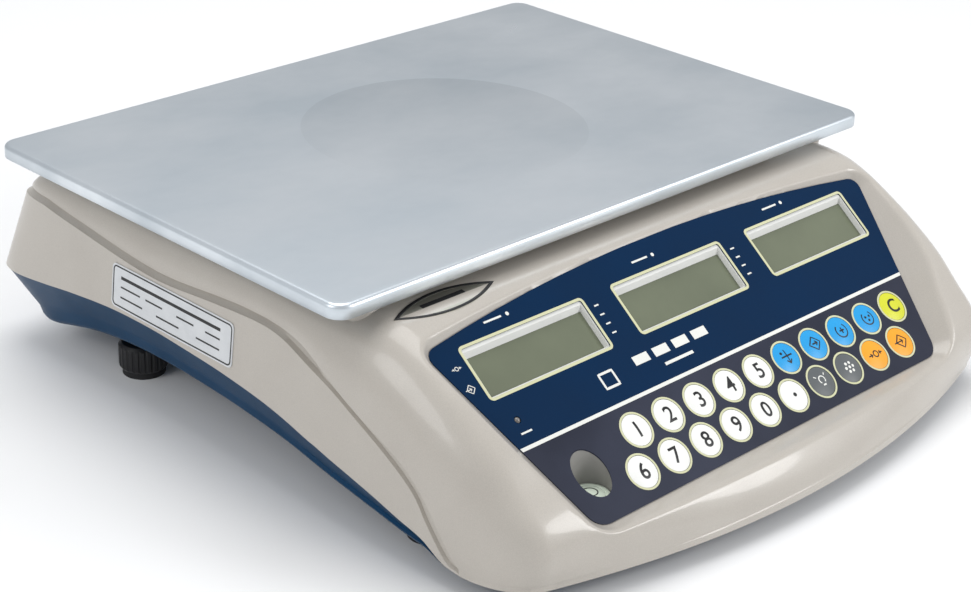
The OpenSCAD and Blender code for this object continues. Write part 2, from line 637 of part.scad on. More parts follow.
// Display wells: square above, with a sloping upper wall
function well_ring(dw, up, z) = let (w = window_w / 2 + dw, h = window_h / 2 + dw)
    [[w, -h, z], [w, h - up, z], [-w, h - up, z], [-w, -h, z]];
module display_wells() color(white) on_panel() window_sites() difference() {
    translate([0, 0, -glass_deep]) slab(window_w + 0.1, window_h + 0.1, 1.3, glass_deep - film - 0.02);
    loft([well_ring(-1, 2.8, -glass_deep - 0.1), well_ring(-0.4, 0, 1)]);
}
glass_t = 2;
board_h = -glass_deep - glass_t - 0.1;
module display_glass(i) color([0.5, 0.54, 0.42]) on_panel()
    translate([i * window_pitch, window_at, -glass_deep - glass_t - 0.05])
        slab(window_w - 0.2, window_h - 0.2, 1, glass_t);
module display_board() color(board) on_panel() translate([0, 0, board_h - board_t]) difference() {
    union() {
        translate([0, window_at]) slab(264, 30, 3, board_t);
        for (x = [-60, 60]) translate([x, window_at, -2]) cube([18, 14, 4 + eps], center = true);
    }
    for (p = board_fixings) translate([p[0], p[1], -4]) cylinder(r = 1.6, h = 10);
}
module keypad_board() color(board) on_panel()
    translate([0, 0, -film - panel_t - 0.05 - board_t]) row_pockets(2, board_t);
dome_r = (key_r * key_r + key_dome * key_dome) / (2 * key_dome);
module key_button(k) color(k[3]) on_panel()
    translate([(k[1] - 3.515 - k[2] / 2) * key_pitch, -k[2] * row_pitch]) {
        intersection() {
            translate([0, 0, key_dome - dome_r]) sphere(r = dome_r);
            translate([0, 0, -1.7]) cylinder(r = key_r, h = 4);
        }
        translate([0, 0, -1.8]) cylinder(r = key_r + 0.8, h = 0.8);
        translate([0, 0, -2.45]) cylinder(r = 1.5, h = 1);
    }
module charge_lamp() color([0.6, 0.6, 0.6]) on_panel() translate([-lamp_x, lamp_at, 0]) {
    translate([0, 0, -5]) cylinder(r = lamp_r - 0.1, h = 4);
    translate([0, 0, -1]) sphere(r = lamp_r - 0.1);
    translate([0, 0, -6]) cylinder(r = lamp_r + 0.5, h = 1.2);
}
module level_well() color(white) difference() {
    at_level() cylinder(r = level_r + 1.2, h = 40);
    at_level() translate([0, 0, 2]) cylinder(r = level_r, h = 60);
    on_panel() translate([-200, -100, -film - 0.03]) cube([400, 200, 80]);
}
module level_vial() color([0.9, 0.93, 0.9]) at_level() translate([0, 0, 2.02]) {
    cylinder(r = level_r - 0.25, h = 3);
    cylinder(r = level_r - 2, h = 3.98);
}
badge_at = [-115, 112.5];
badge_z = 92.4;
module on_badge() translate([badge_at[0], front_y + badge_at[1], badge_z]) rotate([8, 0, 0]) children();
module lens(w, h, t) let (r = (w * w / 4 + h * h / 4) / h) linear_extrude(t) intersection() {
    translate([0, h / 2 - r]) circle(r = r, $fn = 96);
    translate([0, r - h / 2]) circle(r = r, $fn = 96);
}
module badge_pocket() on_badge() translate([0, 0, -0.6]) lens(56.4, 15.4, 3);
module badge_plate() color([0.78, 0.78, 0.74]) on_badge() translate([0, 0, -0.58]) lens(56, 15, 0.7);
label_z = 58.5;
label_y = 48.5;
module rating_label() color([0.82, 0.84, 0.85])
    translate([-cheek_x(300, label_z) - 0.02, label_y, label_z]) rotate([0, atan(draft), 0])
    rotate([90, 0, -90]) slab(85, 20.5, 2.5, 0.4);

// ---- inside ----

module main_board() color(board) translate([board_x, board_y, board_z]) difference() {
    union() {
        slab(board_w, board_l, 2, board_t);
        translate([8, 20, board_t - eps]) slab(22, 22, 0.5, 3);
        translate([-18, -20, board_t - eps]) cylinder(r = 8, h = 16);
        translate([16, -34, board_t - eps]) slab(18, 24, 1, 12);
        for (y = [-45 : 12 : 45]) translate([-33, y, board_t - eps]) slab(6, 9, 0.5, 7);
    }
    for (x = [-1, 1]) for (y = [-1, 1]) translate([x * (board_w / 2 - 5), y * (board_l / 2 - 5), -1])
        cylinder(r = screw_r + 0.25, h = 10);
}
module battery() color([0.15, 0.16, 0.18]) translate([battery_x, battery_y, door_z + door_t + 0.05]) {
    slab(battery_w, battery_l, 2, battery_h);
    for (x = [-1, 1]) translate([x * 24, 40, battery_h - eps]) cube([5, 1, 8], center = true);
}
module battery_door() color(blue) difference() {
    translate([battery_x, battery_y, door_z]) slab(door_w, door_l, 3, door_t);
    for (p = door_sites) translate([p[0], p[1], door_z - 1]) {
        cylinder(r = screw_r + 0.25, h = 6);
        cylinder(r = screw_head + 0.2, h = 2.2);
    }
}
module case_screws() color([0.5, 0.5, 0.5]) {
    for (p = POSTS) translate([p[0], p[1], p[2] - 8]) screw(screw_r, screw_head, 2, 12);
    for (p = door_sites) translate([p[0], p[1], door_z + 1.2]) screw(screw_r, screw_head, 1.2, 5);
    for (p = chassis_sites) translate([p[0], p[1], chassis_z + chassis_t])
        mirror([0, 0, 1]) screw(screw_r, screw_head, 2, 6);
    for (p = board_sites) translate([p[0], p[1], board_z + board_t])
        mirror([0, 0, 1]) screw(screw_r, screw_head, 2, 6);
}

// ---- rear wall ----

module switch_frame() color(dark) on_rear(switch_x) difference() {
    union() {
        translate([0, 0, 0.05]) slab(rocker_w + 2.6, rocker_l + 2.6, 1.5, 1.3);
        translate([0, 0, -12]) slab(rocker_w, rocker_l, 0.8, 12.1);
        for (y = [-5, 5]) translate([0, y, -15]) cube([5, 0.8, 8], center = true);
    }
    translate([0, 0, -9]) slab(rocker_w - 2, rocker_l - 2, 0.5, 20);
    translate([0, 0, rocker_pivot]) pivot_pin(pin_r + 0.1, pin_span + 0.3);
}
module pivot_pin(r, span) rotate([0, 90, 0]) cylinder(r = r, h = span, center = true);
module power_rocker() color(dark) on_rear(switch_x)
    translate([0, 0, rocker_pivot]) rotate([rocker_swing / 2, 0, 0]) {
        translate([-rocker_w / 2 + 1.3, 0, 0]) rotate([90, 0, 90]) linear_extrude(rocker_w - 2.6)
            polygon([[-8, -3.5], [8, -3.5], [8.1, 2.2], [5, 2.7], [0, 1.8], [-5, 2.7], [-8.1, 2.2]]);
        pivot_pin(pin_r, pin_span);
    }
module dc_inlet() color(dark) on_rear(inlet_x) difference() {
    union() {
        translate([0, 0, 0.05]) cylinder(r = inlet_r + 4.2, h = 1.6);
        translate([0, 0, -8]) cylinder(r = inlet_r + inlet_wall, h = 8.1);
        translate([0, -1, -14]) slab(11, 13, 1, 7);
    }
    difference() {
        translate([0, 0, -9]) cylinder(r = inlet_r, h = 20);
        translate([0, 0, -10]) cylinder(r = 1, h = 10.5);
    }
}

// ---- feet ----

flutes = 24;
module foot_place(f) translate([f[1] * foot_x, foot_ys[f[2]], 0]) children();
module foot_knob(f) color(dark) foot_place(f) {
    translate([0, 0, sole_h]) difference() {
        union() {
            cylinder(r1 = foot_r - 1, r2 = foot_r, h = 1.5);
            translate([0, 0, 1.5 - eps]) cylinder(r = foot_r, h = knob_top - sole_h - 3);
            translate([0, 0, knob_top - sole_h - 1.5 - eps])
                cylinder(r1 = foot_r, r2 = foot_r - 1.5, h = 1.5);
        }
        for (i = [0 : flutes - 1]) rotate(i * 360 / flutes)
            translate([foot_r + 0.5, 0, -1]) cylinder(r = 1, h = 20);
    }
    translate([0, 0, knob_top - 1]) cylinder(r = stud_r, h = boss_top + 1 - knob_top);
}
module foot_sole(f) color([0.12, 0.12, 0.13]) foot_place(f) {
    cylinder(r = foot_r - 1.5, h = sole_h - 0.1);
}

upper_housing();
lower_housing();
weighing_pan();
platform_spider();
pan_pads();
platform_screws();
load_cell();
cell_screws();
chassis_plate();
display_overlay();
keypad_overlay();
overlay_stripe();
key_rings();
window_trims();
display_wells();
display_board();
keypad_board();
charge_lamp();
level_well();
level_vial();
badge_plate();
rating_label();
main_board();
battery();
battery_door();
case_screws();
switch_frame();
power_rocker();
dc_inlet();
for (d = DISPLAYS) display_glass(d[1]);
for (k = KEYS) key_button(k);
for (f = FEET) foot_knob(f);
for (f = FEET) foot_sole(f);
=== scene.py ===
import json
import math

import bmesh
import bpy
from mathutils import Matrix, Vector


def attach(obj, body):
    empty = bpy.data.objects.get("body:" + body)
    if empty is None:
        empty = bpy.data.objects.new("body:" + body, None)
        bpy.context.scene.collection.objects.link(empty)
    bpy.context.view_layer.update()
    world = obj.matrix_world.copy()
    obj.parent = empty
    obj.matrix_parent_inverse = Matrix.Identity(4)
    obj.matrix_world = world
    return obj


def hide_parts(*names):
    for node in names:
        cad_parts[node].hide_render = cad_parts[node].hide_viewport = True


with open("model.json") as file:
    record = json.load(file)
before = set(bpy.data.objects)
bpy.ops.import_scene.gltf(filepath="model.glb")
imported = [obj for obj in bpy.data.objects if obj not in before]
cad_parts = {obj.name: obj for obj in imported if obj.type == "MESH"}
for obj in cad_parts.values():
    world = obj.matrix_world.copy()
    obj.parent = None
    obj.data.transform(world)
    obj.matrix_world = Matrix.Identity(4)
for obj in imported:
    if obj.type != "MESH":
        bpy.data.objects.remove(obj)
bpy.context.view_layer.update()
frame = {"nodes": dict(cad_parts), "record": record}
nodes = frame["nodes"]
mm = 0.001

# ---- small helpers: everything below is worked out in millimetres ----


def linear(r, g, b):  # colour given as 0..255 screen values
    def one(c):
        c = c / 255
        return c / 12.92 if c < 0.04045 else ((c + 0.055) / 1.055) ** 2.4
    return (one(r), one(g), one(b), 1.0)


def makeMesh(name, points, faces):
    mesh = bpy.data.meshes.new(name)
    mesh.from_pydata([Vector(p) * mm for p in points], [], faces)
    mesh.validate()
    mesh.update()
    return mesh


def makePiece(name, points, faces, material, body="base", stands=(), sharp=35, flip=True):
    obj = bpy.data.objects.new(name, makeMesh(name, points, faces))
    bpy.context.scene.collection.objects.link(obj)
    if flip:
        recalcNormals(obj)
    finishPiece(obj, material, body, stands, sharp)
    return obj


def recalcNormals(obj):
    bm = bmesh.new()
    bm.from_mesh(obj.data)
    bmesh.ops.remove_doubles(bm, verts=bm.verts, dist=0.002 * mm)
    bmesh.ops.recalc_face_normals(bm, faces=bm.faces)
    bm.to_mesh(obj.data)
    bm.free()


def finishPiece(obj, material, body, stands, sharp):
    obj.data.materials.clear()
    obj.data.materials.append(material)
    obj.data.shade_smooth()
    obj.data.set_sharp_from_angle(angle=math.radians(sharp))
    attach(obj, body)
    if stands:
        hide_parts(*stands)


def applyModifiers(obj):
    graph = bpy.context.evaluated_depsgraph_get()
    mesh = bpy.data.meshes.new_from_object(obj.evaluated_get(graph))
    old = obj.data
    obj.modifiers.clear()
    obj.data = mesh
    bpy.data.meshes.remove(old)


def cutWith(obj, cutters):
    for cutter in cutters:
        mod = obj.modifiers.new("cut", "BOOLEAN")
        mod.operation, mod.solver, mod.object = "DIFFERENCE", "EXACT", cutter
    applyModifiers(obj)
    for cutter in cutters:
        bpy.data.objects.remove(cutter)


def scratchSolid(points, faces):
    obj = bpy.data.objects.new("cutter", makeMesh("cutter", points, faces))
    bpy.context.scene.collection.objects.link(obj)
    recalcNormals(obj)
    return obj


def skinLoops(loops, capStart=True, capEnd=True):
    count = len(loops[0])
    points = [p for loop in loops for p in loop]
    faces = []
    for j in range(len(loops) - 1):
        for i in range(count):
            k = (i + 1) % count
            faces.append((j * count + i, j * count + k, (j + 1) * count + k, (j + 1) * count + i))
    if capStart:
        faces.append(tuple(range(count - 1, -1, -1)))
    if capEnd:
        faces.append(tuple(range((len(loops) - 1) * count, len(loops) * count)))
    return points, faces


def circleLoop(cx, cy, z, r, count=48):
    return [(cx + r * math.cos(2 * math.pi * i / count), cy + r * math.sin(2 * math.pi * i / count), z)
            for i in range(count)]


def boxLoop(cx, cy, z, width, depth, radius, corner=8, along=1, across=1):
    w, d = width / 2 - radius, depth / 2 - radius
    loop = []
    for q, (sx, sy) in enumerate([(1, 1), (-1, 1), (-1, -1), (1, -1)]):
        for i in range(corner + 1):
            a = math.radians(90 * q + 90 * i / corner)
            loop.append((cx + sx * w + radius * math.cos(a), cy + sy * d + radius * math.sin(a), z))
        steps = along if q % 2 == 0 else across
        nx, ny = [(-1, 1), (-1, -1), (1, -1), (1, 1)][q]
        ax, ay = loop[-1][0], loop[-1][1]
        b = math.radians(90 * (q + 1))
        bx, by = cx + nx * w + radius * math.cos(b), cy + ny * d + radius * math.sin(b)
        for s in range(1, steps):
            loop.append((ax + (bx - ax) * s / steps, ay + (by - ay) * s / steps, z))
    return loop


def curveAt(table, u, column=1):
    n = len(table)
    i = 0
    while i < n - 2 and u >= table[i + 1][0]:
        i += 1

    def slope(k):
        a, b = max(0, k - 1), min(n - 1, k + 1)
        return (table[b][column] - table[a][column]) / (table[b][0] - table[a][0])
    gap = table[i + 1][0] - table[i][0]
    t = max(0.0, min(1.0, (u - table[i][0]) / gap))
    a, b = table[i][column], table[i + 1][column]
    m, k = slope(i) * gap, slope(i + 1) * gap
    return (a * (2 * t**3 - 3 * t * t + 1) + m * (t**3 - 2 * t * t + t)
            + b * (3 * t * t - 2 * t**3) + k * (t**3 - t * t))


# ---- materials ----

def surface(name, color, other=None, mixScale=60, stretch=(1, 1, 1), amount=0.5, rough=0.4,
            roughSpread=0.06, grain=900, bump=0.05, grainStretch=(1, 1, 1), metal=0.0, coat=0.0,
            coatRough=0.15, ior=1.46, speckle=0.0, specular=0.5):
    mat = bpy.data.materials.new(name)
    mat.use_nodes = True
    tree = mat.node_tree
    tree.nodes.clear()
    new, link = tree.nodes.new, tree.links.new
    out, shader = new("ShaderNodeOutputMaterial"), new("ShaderNodeBsdfPrincipled")
    link(shader.outputs[0], out.inputs[0])
    place = new("ShaderNodeTexCoord")
    spread = new("ShaderNodeMapping")
    spread.inputs["Scale"].default_value = stretch
    link(place.outputs["Object"], spread.inputs[0])
    cloud = new("ShaderNodeTexNoise")
    cloud.inputs["Scale"].default_value = mixScale
    cloud.inputs["Detail"].default_value = 4
    link(spread.outputs[0], cloud.inputs["Vector"])
    level = new("ShaderNodeMapRange")
    level.inputs["From Min"].default_value = 0.3
    level.inputs["From Max"].default_value = 0.7
    level.inputs["To Max"].default_value = amount
    link(cloud.outputs[0], level.inputs[0])
    mix = new("ShaderNodeMix")
    mix.data_type = "RGBA"
    link(level.outputs[0], mix.inputs["Factor"])
    mix.inputs[6].default_value = color
    mix.inputs[7].default_value = other or tuple(c * 0.88 for c in color[:3]) + (1,)
    tint = mix.outputs[2]
    fine = new("ShaderNodeMapping")
    fine.inputs["Scale"].default_value = grainStretch
    link(place.outputs["Object"], fine.inputs[0])
    grit = new("ShaderNodeTexNoise")
    grit.inputs["Scale"].default_value = grain
    grit.inputs["Detail"].default_value = 3
    link(fine.outputs[0], grit.inputs["Vector"])
    if speckle:
        dots = new("ShaderNodeMapRange")
        dots.inputs["From Min"].default_value = 0.36
        dots.inputs["From Max"].default_value = 0.64
        dots.inputs["To Min"].default_value = 1 - speckle
        dots.inputs["To Max"].default_value = 1 + speckle
        link(grit.outputs[0], dots.inputs[0])
        gain = new("ShaderNodeVectorMath")
        gain.operation = "SCALE"
        link(tint, gain.inputs[0])
        link(dots.outputs[0], gain.inputs["Scale"])
        tint = gain.outputs[0]
    link(tint, shader.inputs["Base Color"])
    shine = new("ShaderNodeMapRange")
    shine.inputs["From Min"].default_value = 0.3
    shine.inputs["From Max"].default_value = 0.7
    shine.inputs["To Min"].default_value = rough - roughSpread
    shine.inputs["To Max"].default_value = rough + roughSpread
    link(cloud.outputs[0], shine.inputs[0])
    link(shine.outputs[0], shader.inputs["Roughness"])
    relief = new("ShaderNodeBump")
    relief.inputs["Strength"].default_value = bump
    relief.inputs["Distance"].default_value = 0.0003
    link(grit.outputs[0], relief.inputs["Height"])
    link(relief.outputs[0], shader.inputs["Normal"])
    shader.inputs["Metallic"].default_value = metal
    shader.inputs["IOR"].default_value = ior
    shader.inputs["Coat Weight"].default_value = coat
    shader.inputs["Coat Roughness"].default_value = coatRough
    shader.inputs["Specular IOR Level"].default_value = specular
    mat.diffuse_color = color
    return mat


looks = {
    "housing": surface("moulded warm grey", linear(186, 180, 171), linear(178, 171, 162), 30, amount=0.5,
                       rough=0.33, roughSpread=0.03, grain=2600, bump=0.12, coat=0.4, coatRough=0.08,
                       speckle=0.045),
    "base": surface("moulded deep blue", linear(0, 54, 88), linear(0, 46, 76), 40, rough=0.36,
                    roughSpread=0.04, grain=2400, bump=0.12, coat=0.03, speckle=0.08, specular=0.12),
    "pan": surface("brushed stainless sheet", (0.80, 0.845, 0.88, 1), (0.52, 0.57, 0.61, 1), 11, (1, 1.3, 1),
                   1.0, rough=0.36, roughSpread=0.09, grain=1500, bump=0.05, grainStretch=(0.05, 1, 1),
                   metal=1.0),
    "cast": surface("cast aluminium", linear(178, 180, 182), None, 80, rough=0.5, grain=700, bump=0.25,
                    metal=0.9),
    "cell": surface("milled aluminium", linear(190, 194, 200), None, 60, rough=0.35, grain=1500,
                    grainStretch=(1, 0.06, 1), bump=0.1, metal=1.0),
    "zinc": surface("zinc plated steel", linear(180, 178, 168), linear(168, 170, 150), 45, rough=0.38,
                    metal=1.0),
    "screw": surface("bright screw steel", linear(165, 165, 162), None, 300, rough=0.3, metal=1.0),
    "bolt": surface("yellow passivated steel", linear(190, 165, 95), linear(170, 150, 110), 220, rough=0.35,
                    metal=1.0),
    "pad": surface("black rubber", linear(30, 30, 32), linear(22, 22, 24), 300, rough=0.75, grain=1800,
                   bump=0.3),
    "overlay_navy": surface("navy overlay film", linear(0, 38, 72), linear(0, 33, 63), 25, rough=0.34,
                            roughSpread=0.03, grain=3500, bump=0.1, speckle=0.05, specular=0.12),
    "overlay_slate": surface("slate overlay film", linear(52, 56, 72), linear(26, 30, 46), 14, amount=0.9,
                             rough=0.4, roughSpread=0.03, grain=3500, bump=0.1, speckle=0.05, specular=0.25),
    "print_white": surface("white print", linear(232, 232, 226), None, 80, rough=0.45, bump=0.03),
    "print_cream": surface("cream print", linear(208, 208, 170), linear(198, 198, 160), 80, rough=0.45,
                           bump=0.03),
    # painted shade: the level well is a mid grey, darker than the housing round it
    "well": surface("level well", linear(150, 148, 144), None, 60, rough=0.5, bump=0.05),
    "white": surface("white moulding", linear(226, 226, 222), None, 60, rough=0.5, bump=0.05),
    "glass": surface("display glass", linear(112, 118, 96), linear(98, 104, 84), 22, amount=0.8, rough=0.12,
                     roughSpread=0.02, grain=500, bump=0.0, coat=0.5, coatRough=0.04),
    "pcb": surface("circuit board", linear(30, 96, 58), linear(22, 76, 46), 350, bump=0.2),
    "lamp": surface("smoked lamp lens", linear(120, 116, 112), linear(96, 90, 88), 500, rough=0.18, coat=0.5),
    "vial": surface("level vial", linear(226, 236, 220), linear(206, 222, 198), 200, rough=0.1, coat=0.6),
    "plate": surface("satin badge metal", linear(190, 188, 176), linear(160, 158, 148), 120, (0.1, 1, 1), 0.6,
                     rough=0.32, grain=1600, grainStretch=(0.08, 1, 1), bump=0.1, metal=0.85),
    "label": surface("silver label film", linear(214, 216, 218), linear(200, 203, 206), 120, rough=0.36,
                     grain=1600, grainStretch=(1, 0.08, 1), bump=0.06, metal=0.35),
    "battery": surface("battery case", linear(48, 50, 56), None, 50, rough=0.5, bump=0.1),
    "black": surface("black moulding", linear(26, 26, 28), linear(20, 20, 22), 120, rough=0.42, grain=1800,
                     bump=0.15),
    "key_white": surface("white key", linear(240, 240, 236), linear(230, 230, 226), 90, rough=0.42),
    "key_blue": surface("blue key", linear(28, 158, 222), linear(18, 146, 212), 90, rough=0.42),
    "key_lime": surface("lime key", linear(212, 214, 50), linear(202, 206, 40), 90, rough=0.42),
    "key_grey": surface("grey key", linear(96, 100, 102), linear(84, 88, 90), 90, rough=0.42),
    "key_orange": surface("orange key", linear(246, 166, 40), linear(240, 156, 30), 90, rough=0.42),
}
for part in frame["record"]["subparts"]:
    node = nodes[part["node"]]
    for holder in node.material_slots:
        holder.material = looks[part["material_slot"]]
# painted shade: the recess of the level well gets the darker grey
for holder in nodes["level_well"].material_slots:
    holder.material = looks["well"]
print("materials ready:", len(looks))

# ---- body lines, by distance from the front lip ----

body = {
    "width": 330, "depth": 367, "deckHeight": 93.7, "lipHeight": 9, "draft": 0.1, "rearLean": 0.38,
    "partHeight": 37, "frontLength": 123, "wall": 2.2, "seam": 0.15,
}
frontY, backY = -body["depth"] / 2, body["depth"] / 2
halfWidth = body["width"] / 2

shoulderLine = [[54, 11.4], [58.6, 16], [66, 26], [72.5, 34.4], [84, 45], [100.5, 53.5], [119.5, 62],
                [133, 68.5], [146, 74], [162, 76.5], [188, 76.5], [202, 75.5], [246, 72.5], [303, 77],
                [342, 80]]
cheekLine = [[54, 9.9], [61, 12.4], [72, 24], [80, 34], [94, 44], [113.5, 54.5], [128.6, 62], [144, 68],
             [160, 73.5], [174, 75], [202, 73.5], [246, 70.5], [303, 75], [342, 78]]
seamLine = [[54, 9], [63, 11], [74, 17], [87, 21], [103, 26], [126, 32], [161, 40], [194, 44], [222, 45.7],
            [247, 46.6], [275, 46], [306, 43], [328, 40], [353, 37], [367, 37]]
archLine = [[0, 9.5], [56, 9.5], [85, 10.4], [125, 15.5], [175, 21.5], [225, 24.8], [265, 24.8], [300, 21.5],
            [330, 16], [355, 10.8], [367, 10]]
edgeLine = [[54, 0.2], [70, 1.8], [100, 2.4], [125, 1.6], [150, -0.6], [175, -2.2], [230, -2.4],
            [367, -2.4]]
# middle distance, bulge of the arc, set-back of the corner, height, flat half width
hoodRows = [
    [0, 29.3, 24.7, 9, 118], [1.6, 26, 27.4, 13.6, 118], [5, 19.6, 32, 20, 119], [10.4, 12, 37.6, 27, 121],
    [16.5, 7, 41, 33, 123], [23.5, 4, 42.5, 38.9, 126], [35, 2, 39, 48.2, 130], [49, 0, 34.5, 60.2, 134],
    [66, 0, 28, 71.8, 138], [81, 0, 22, 80.2, 140], [93, 0, 17, 86.6, 140], [105, 0, 12, 91.2, 140],
    [115, 0, 7, 92.8, 140], [123, 0, 2, 93.2, 140], [135, 0, 0, 93.2, 140],
]
# distance in front of the rear wall, set-in of the side, height, share of the rear wall's lean
rearRows = [
    [228, 0, 93.2, 0], [160, 0, 93.2, 0], [130, 0, 93.2, 0], [100, 0, 93.2, 0], [75, 0, 93.2, 0.05],
    [52, 0.1, 93.2, 0.3], [34, 0.3, 93.2, 0.6], [20, 0.7, 93, 0.85], [11, 1.5, 92, 0.96],
    [5.5, 2.8, 89.8, 1], [2, 4.6, 86.2, 1], [0, 7, 81, 1],
]
skinSteps = {"flat": 74, "roll": 40, "cheek": 8, "hoodGap": 1.15, "rearGap": 3.2}


def cheekX(d, z):
    return (halfWidth - body["draft"] * (z - body["partHeight"] - 1)
            - 6.8 * (max(0, 144 - d) / 90) ** 1.5)


def cornerShare(q):
    a = max(0, (q - 0.894) / 0.106)
    return 1 - math.sqrt(max(0, 1 - a * a))


def flatPlaces(xf):  # closer together towards the outside
    n = skinSteps["flat"]
    return [xf * (1 - (1 - i / n) ** 1.5) for i in range(n)]


def cheekRun(points):  # more points down the flat cheek
    (ax, az), (bx, bz) = points[-2:]
    n = skinSteps["cheek"]
    return points[:-1] + [[ax + (bx - ax) * s / n, az + (bz - az) * s / n] for s in range(1, n + 1)]


def hoodHalf(d, bulge, setBack, height, flat):
    side = d + bulge + setBack
    e, c, b = (curveAt(line, side) for line in (shoulderLine, cheekLine, seamLine))
    top = max(height, e)
    xe = cheekX(side, e) + curveAt(edgeLine, side)
    xf = min(flat, xe - 3)
    half = [[x, frontY + d + bulge * (x / xe) ** 2, top] for x in flatPlaces(xf)]
    for i in range(skinSteps["roll"] + 1):
        a = math.radians(90 * i / skinSteps["roll"])
        x = xf + (xe - xf) * math.sin(a)
        half.append([x, frontY + d + bulge * (x / xe) ** 2 + setBack * cornerShare(x / xe),
                     e + (top - e) * math.cos(a)])
    run = cheekRun([[cheekX(side, e) - 1.5, max(e - 0.35, b)], [cheekX(side, c) - 1.5, max(c + 0.5, b)],
                    [cheekX(side, c), max(c - 0.3, b)], [cheekX(side, b), b]])
    return half + [[min(p[0], halfWidth), frontY + side, p[1]] for p in run]


def rearHalf(back, setIn, height, lean):
    d = body["depth"] - back
    e = min(curveAt(shoulderLine, d), height - 1)
    c = min(curveAt(cheekLine, d), e - 1)
    b = curveAt(seamLine, d)
    xe = cheekX(d, e) + curveAt(edgeLine, d) - setIn
    xf = min(140, xe - 6 - setIn)
    half = [[x, height] for x in flatPlaces(xf)]
    for i in range(skinSteps["roll"] + 1):
        a = math.radians(90 * i / skinSteps["roll"])
        half.append([xf + (xe - xf) * math.sin(a), e + (height - e) * math.cos(a)])
    half += cheekRun([[cheekX(d, e) - 3.6 - setIn, e - 0.3], [cheekX(d, c) - 2.4 - setIn, c + 0.4],
                      [cheekX(d, c) - setIn, c - 0.3], [cheekX(d, b) - setIn, b]])
    return [[p[0], frontY + d - lean * body["rearLean"] * (p[1] - body["partHeight"]), p[1]] for p in half]


def bothSides(half):
    return [[-p[0], p[1], p[2]] for p in half[:0:-1]] + half


def finerRows(rows, gap, heightColumn):
    places = []
    for a, b in zip(rows, rows[1:]):
        n = max(1, math.ceil(math.hypot(b[0] - a[0], b[heightColumn] - a[heightColumn]) / gap))
        places += [a[0] + (b[0] - a[0]) * s / n for s in range(n)]
    places.append(rows[-1][0])
    ordered = sorted(rows, key=lambda r: r[0])
    return [[u] + [curveAt(ordered, u, k) for k in range(1, len(rows[0]))] for u in places]


# ---- sloping panel ----

panel = {
    "tilt": 38.1, "y": frontY + 45.4, "z": 43.8, "top": 142, "low": 117.5, "rise": 75.5, "fall": 29,
    "cornerTop": 5, "cornerLow": 9, "archRadius": 909, "film": 0.5, "crest": 1.7, "windowWidth": 70.3,
    "windowHeight": 23.6, "windowAt": 48.4, "windowPitch": 90, "keyPitch": 19.77, "rowPitch": 16.5,
    "keyRadius": 7.2, "keyDome": 1.0,
}
tiltCos, tiltSin = math.cos(math.radians(panel["tilt"])), math.sin(math.radians(panel["tilt"]))
levelPlace = (-103, panel["y"] - 7.6 * tiltCos)
lampPlace = (-120, 24.5)


def toPanel(p):
    y, z = p[1] - panel["y"], p[2] - panel["z"]
    return p[0], y * tiltCos + z * tiltSin, z * tiltCos - y * tiltSin


def fromPanel(x, s, n):
    return [x, panel["y"] + s * tiltCos - n * tiltSin, panel["z"] + s * tiltSin + n * tiltCos]


def panelOutline():
    sideTilt = -math.degrees(math.atan((panel["top"] - panel["low"]) / 84))
    inner = panel["archRadius"] - panel["cornerTop"]
    lean = math.degrees(math.asin((panel["top"] - panel["cornerTop"] - 1) / inner))
    cornerY = panel["rise"] - panel["archRadius"] + inner * math.cos(math.radians(lean))

    def arc(cx, cy, r, a0, a1, n):
        return [(cx + r * math.cos(math.radians(a0 + (a1 - a0) * i / n)),
                 cy + r * math.sin(math.radians(a0 + (a1 - a0) * i / n))) for i in range(n + 1)]
    half = (arc(panel["low"] - panel["cornerLow"], panel["cornerLow"] - panel["fall"], panel["cornerLow"],
                -90, sideTilt, 10)
            + arc(panel["top"] - panel["cornerTop"] - 1, cornerY, panel["cornerTop"], sideTilt, 90 - lean, 8)
            + arc(0, panel["rise"] - panel["archRadius"], panel["archRadius"], 90 - lean, 90 - lean / 8, 10))
    return half + [(-p[0], p[1]) for p in half[::-1]]


outlinePoints = panelOutline()


def fromOutline(x, s):  # distance outside the overlay, and the nearest point on its edge
    best, near, inside = 1e9, None, False
    for (ax, ay), (bx, by) in zip(outlinePoints, outlinePoints[1:] + outlinePoints[:1]):
        dx, dy = bx - ax, by - ay
        t = max(0, min(1, ((x - ax) * dx + (s - ay) * dy) / (dx * dx + dy * dy + 1e-9)))
        px, py = ax + dx * t, ay + dy * t
        gap = (x - px) ** 2 + (s - py) ** 2
        if gap < best:
            best, near = gap, (px, py)
        if (ay > s) != (by > s) and x < ax + (s - ay) * dx / dy:
            inside = not inside
    gap = math.sqrt(best)
    return (-gap if inside else gap), near


def softLower(a, b, k):
    h = max(k - abs(a - b), 0) / k
    return min(a, b) - h * h * k / 4


def sinkPanel(p):
    x, s, n = toPanel(p)
    if n < -6 or s > 95 or s < -50 or p[1] > -20:
        return p
    gap, near = fromOutline(x, s)
    if gap > 24:
        return p
    if abs(gap) < 0.75 and n > -0.2:
        away = max(1e-6, abs(gap))
        sign = 1 if gap > 0 else -1
        x, s = near[0] + 0.12 * sign * (x - near[0]) / away, near[1] + 0.12 * sign * (s - near[1]) / away
        gap = 0.1
    floor = -panel["film"] - 0.06 + max(0, gap)
    return fromPanel(x, s, softLower(n, floor, panel["crest"]) if gap > 0 else min(n, floor))


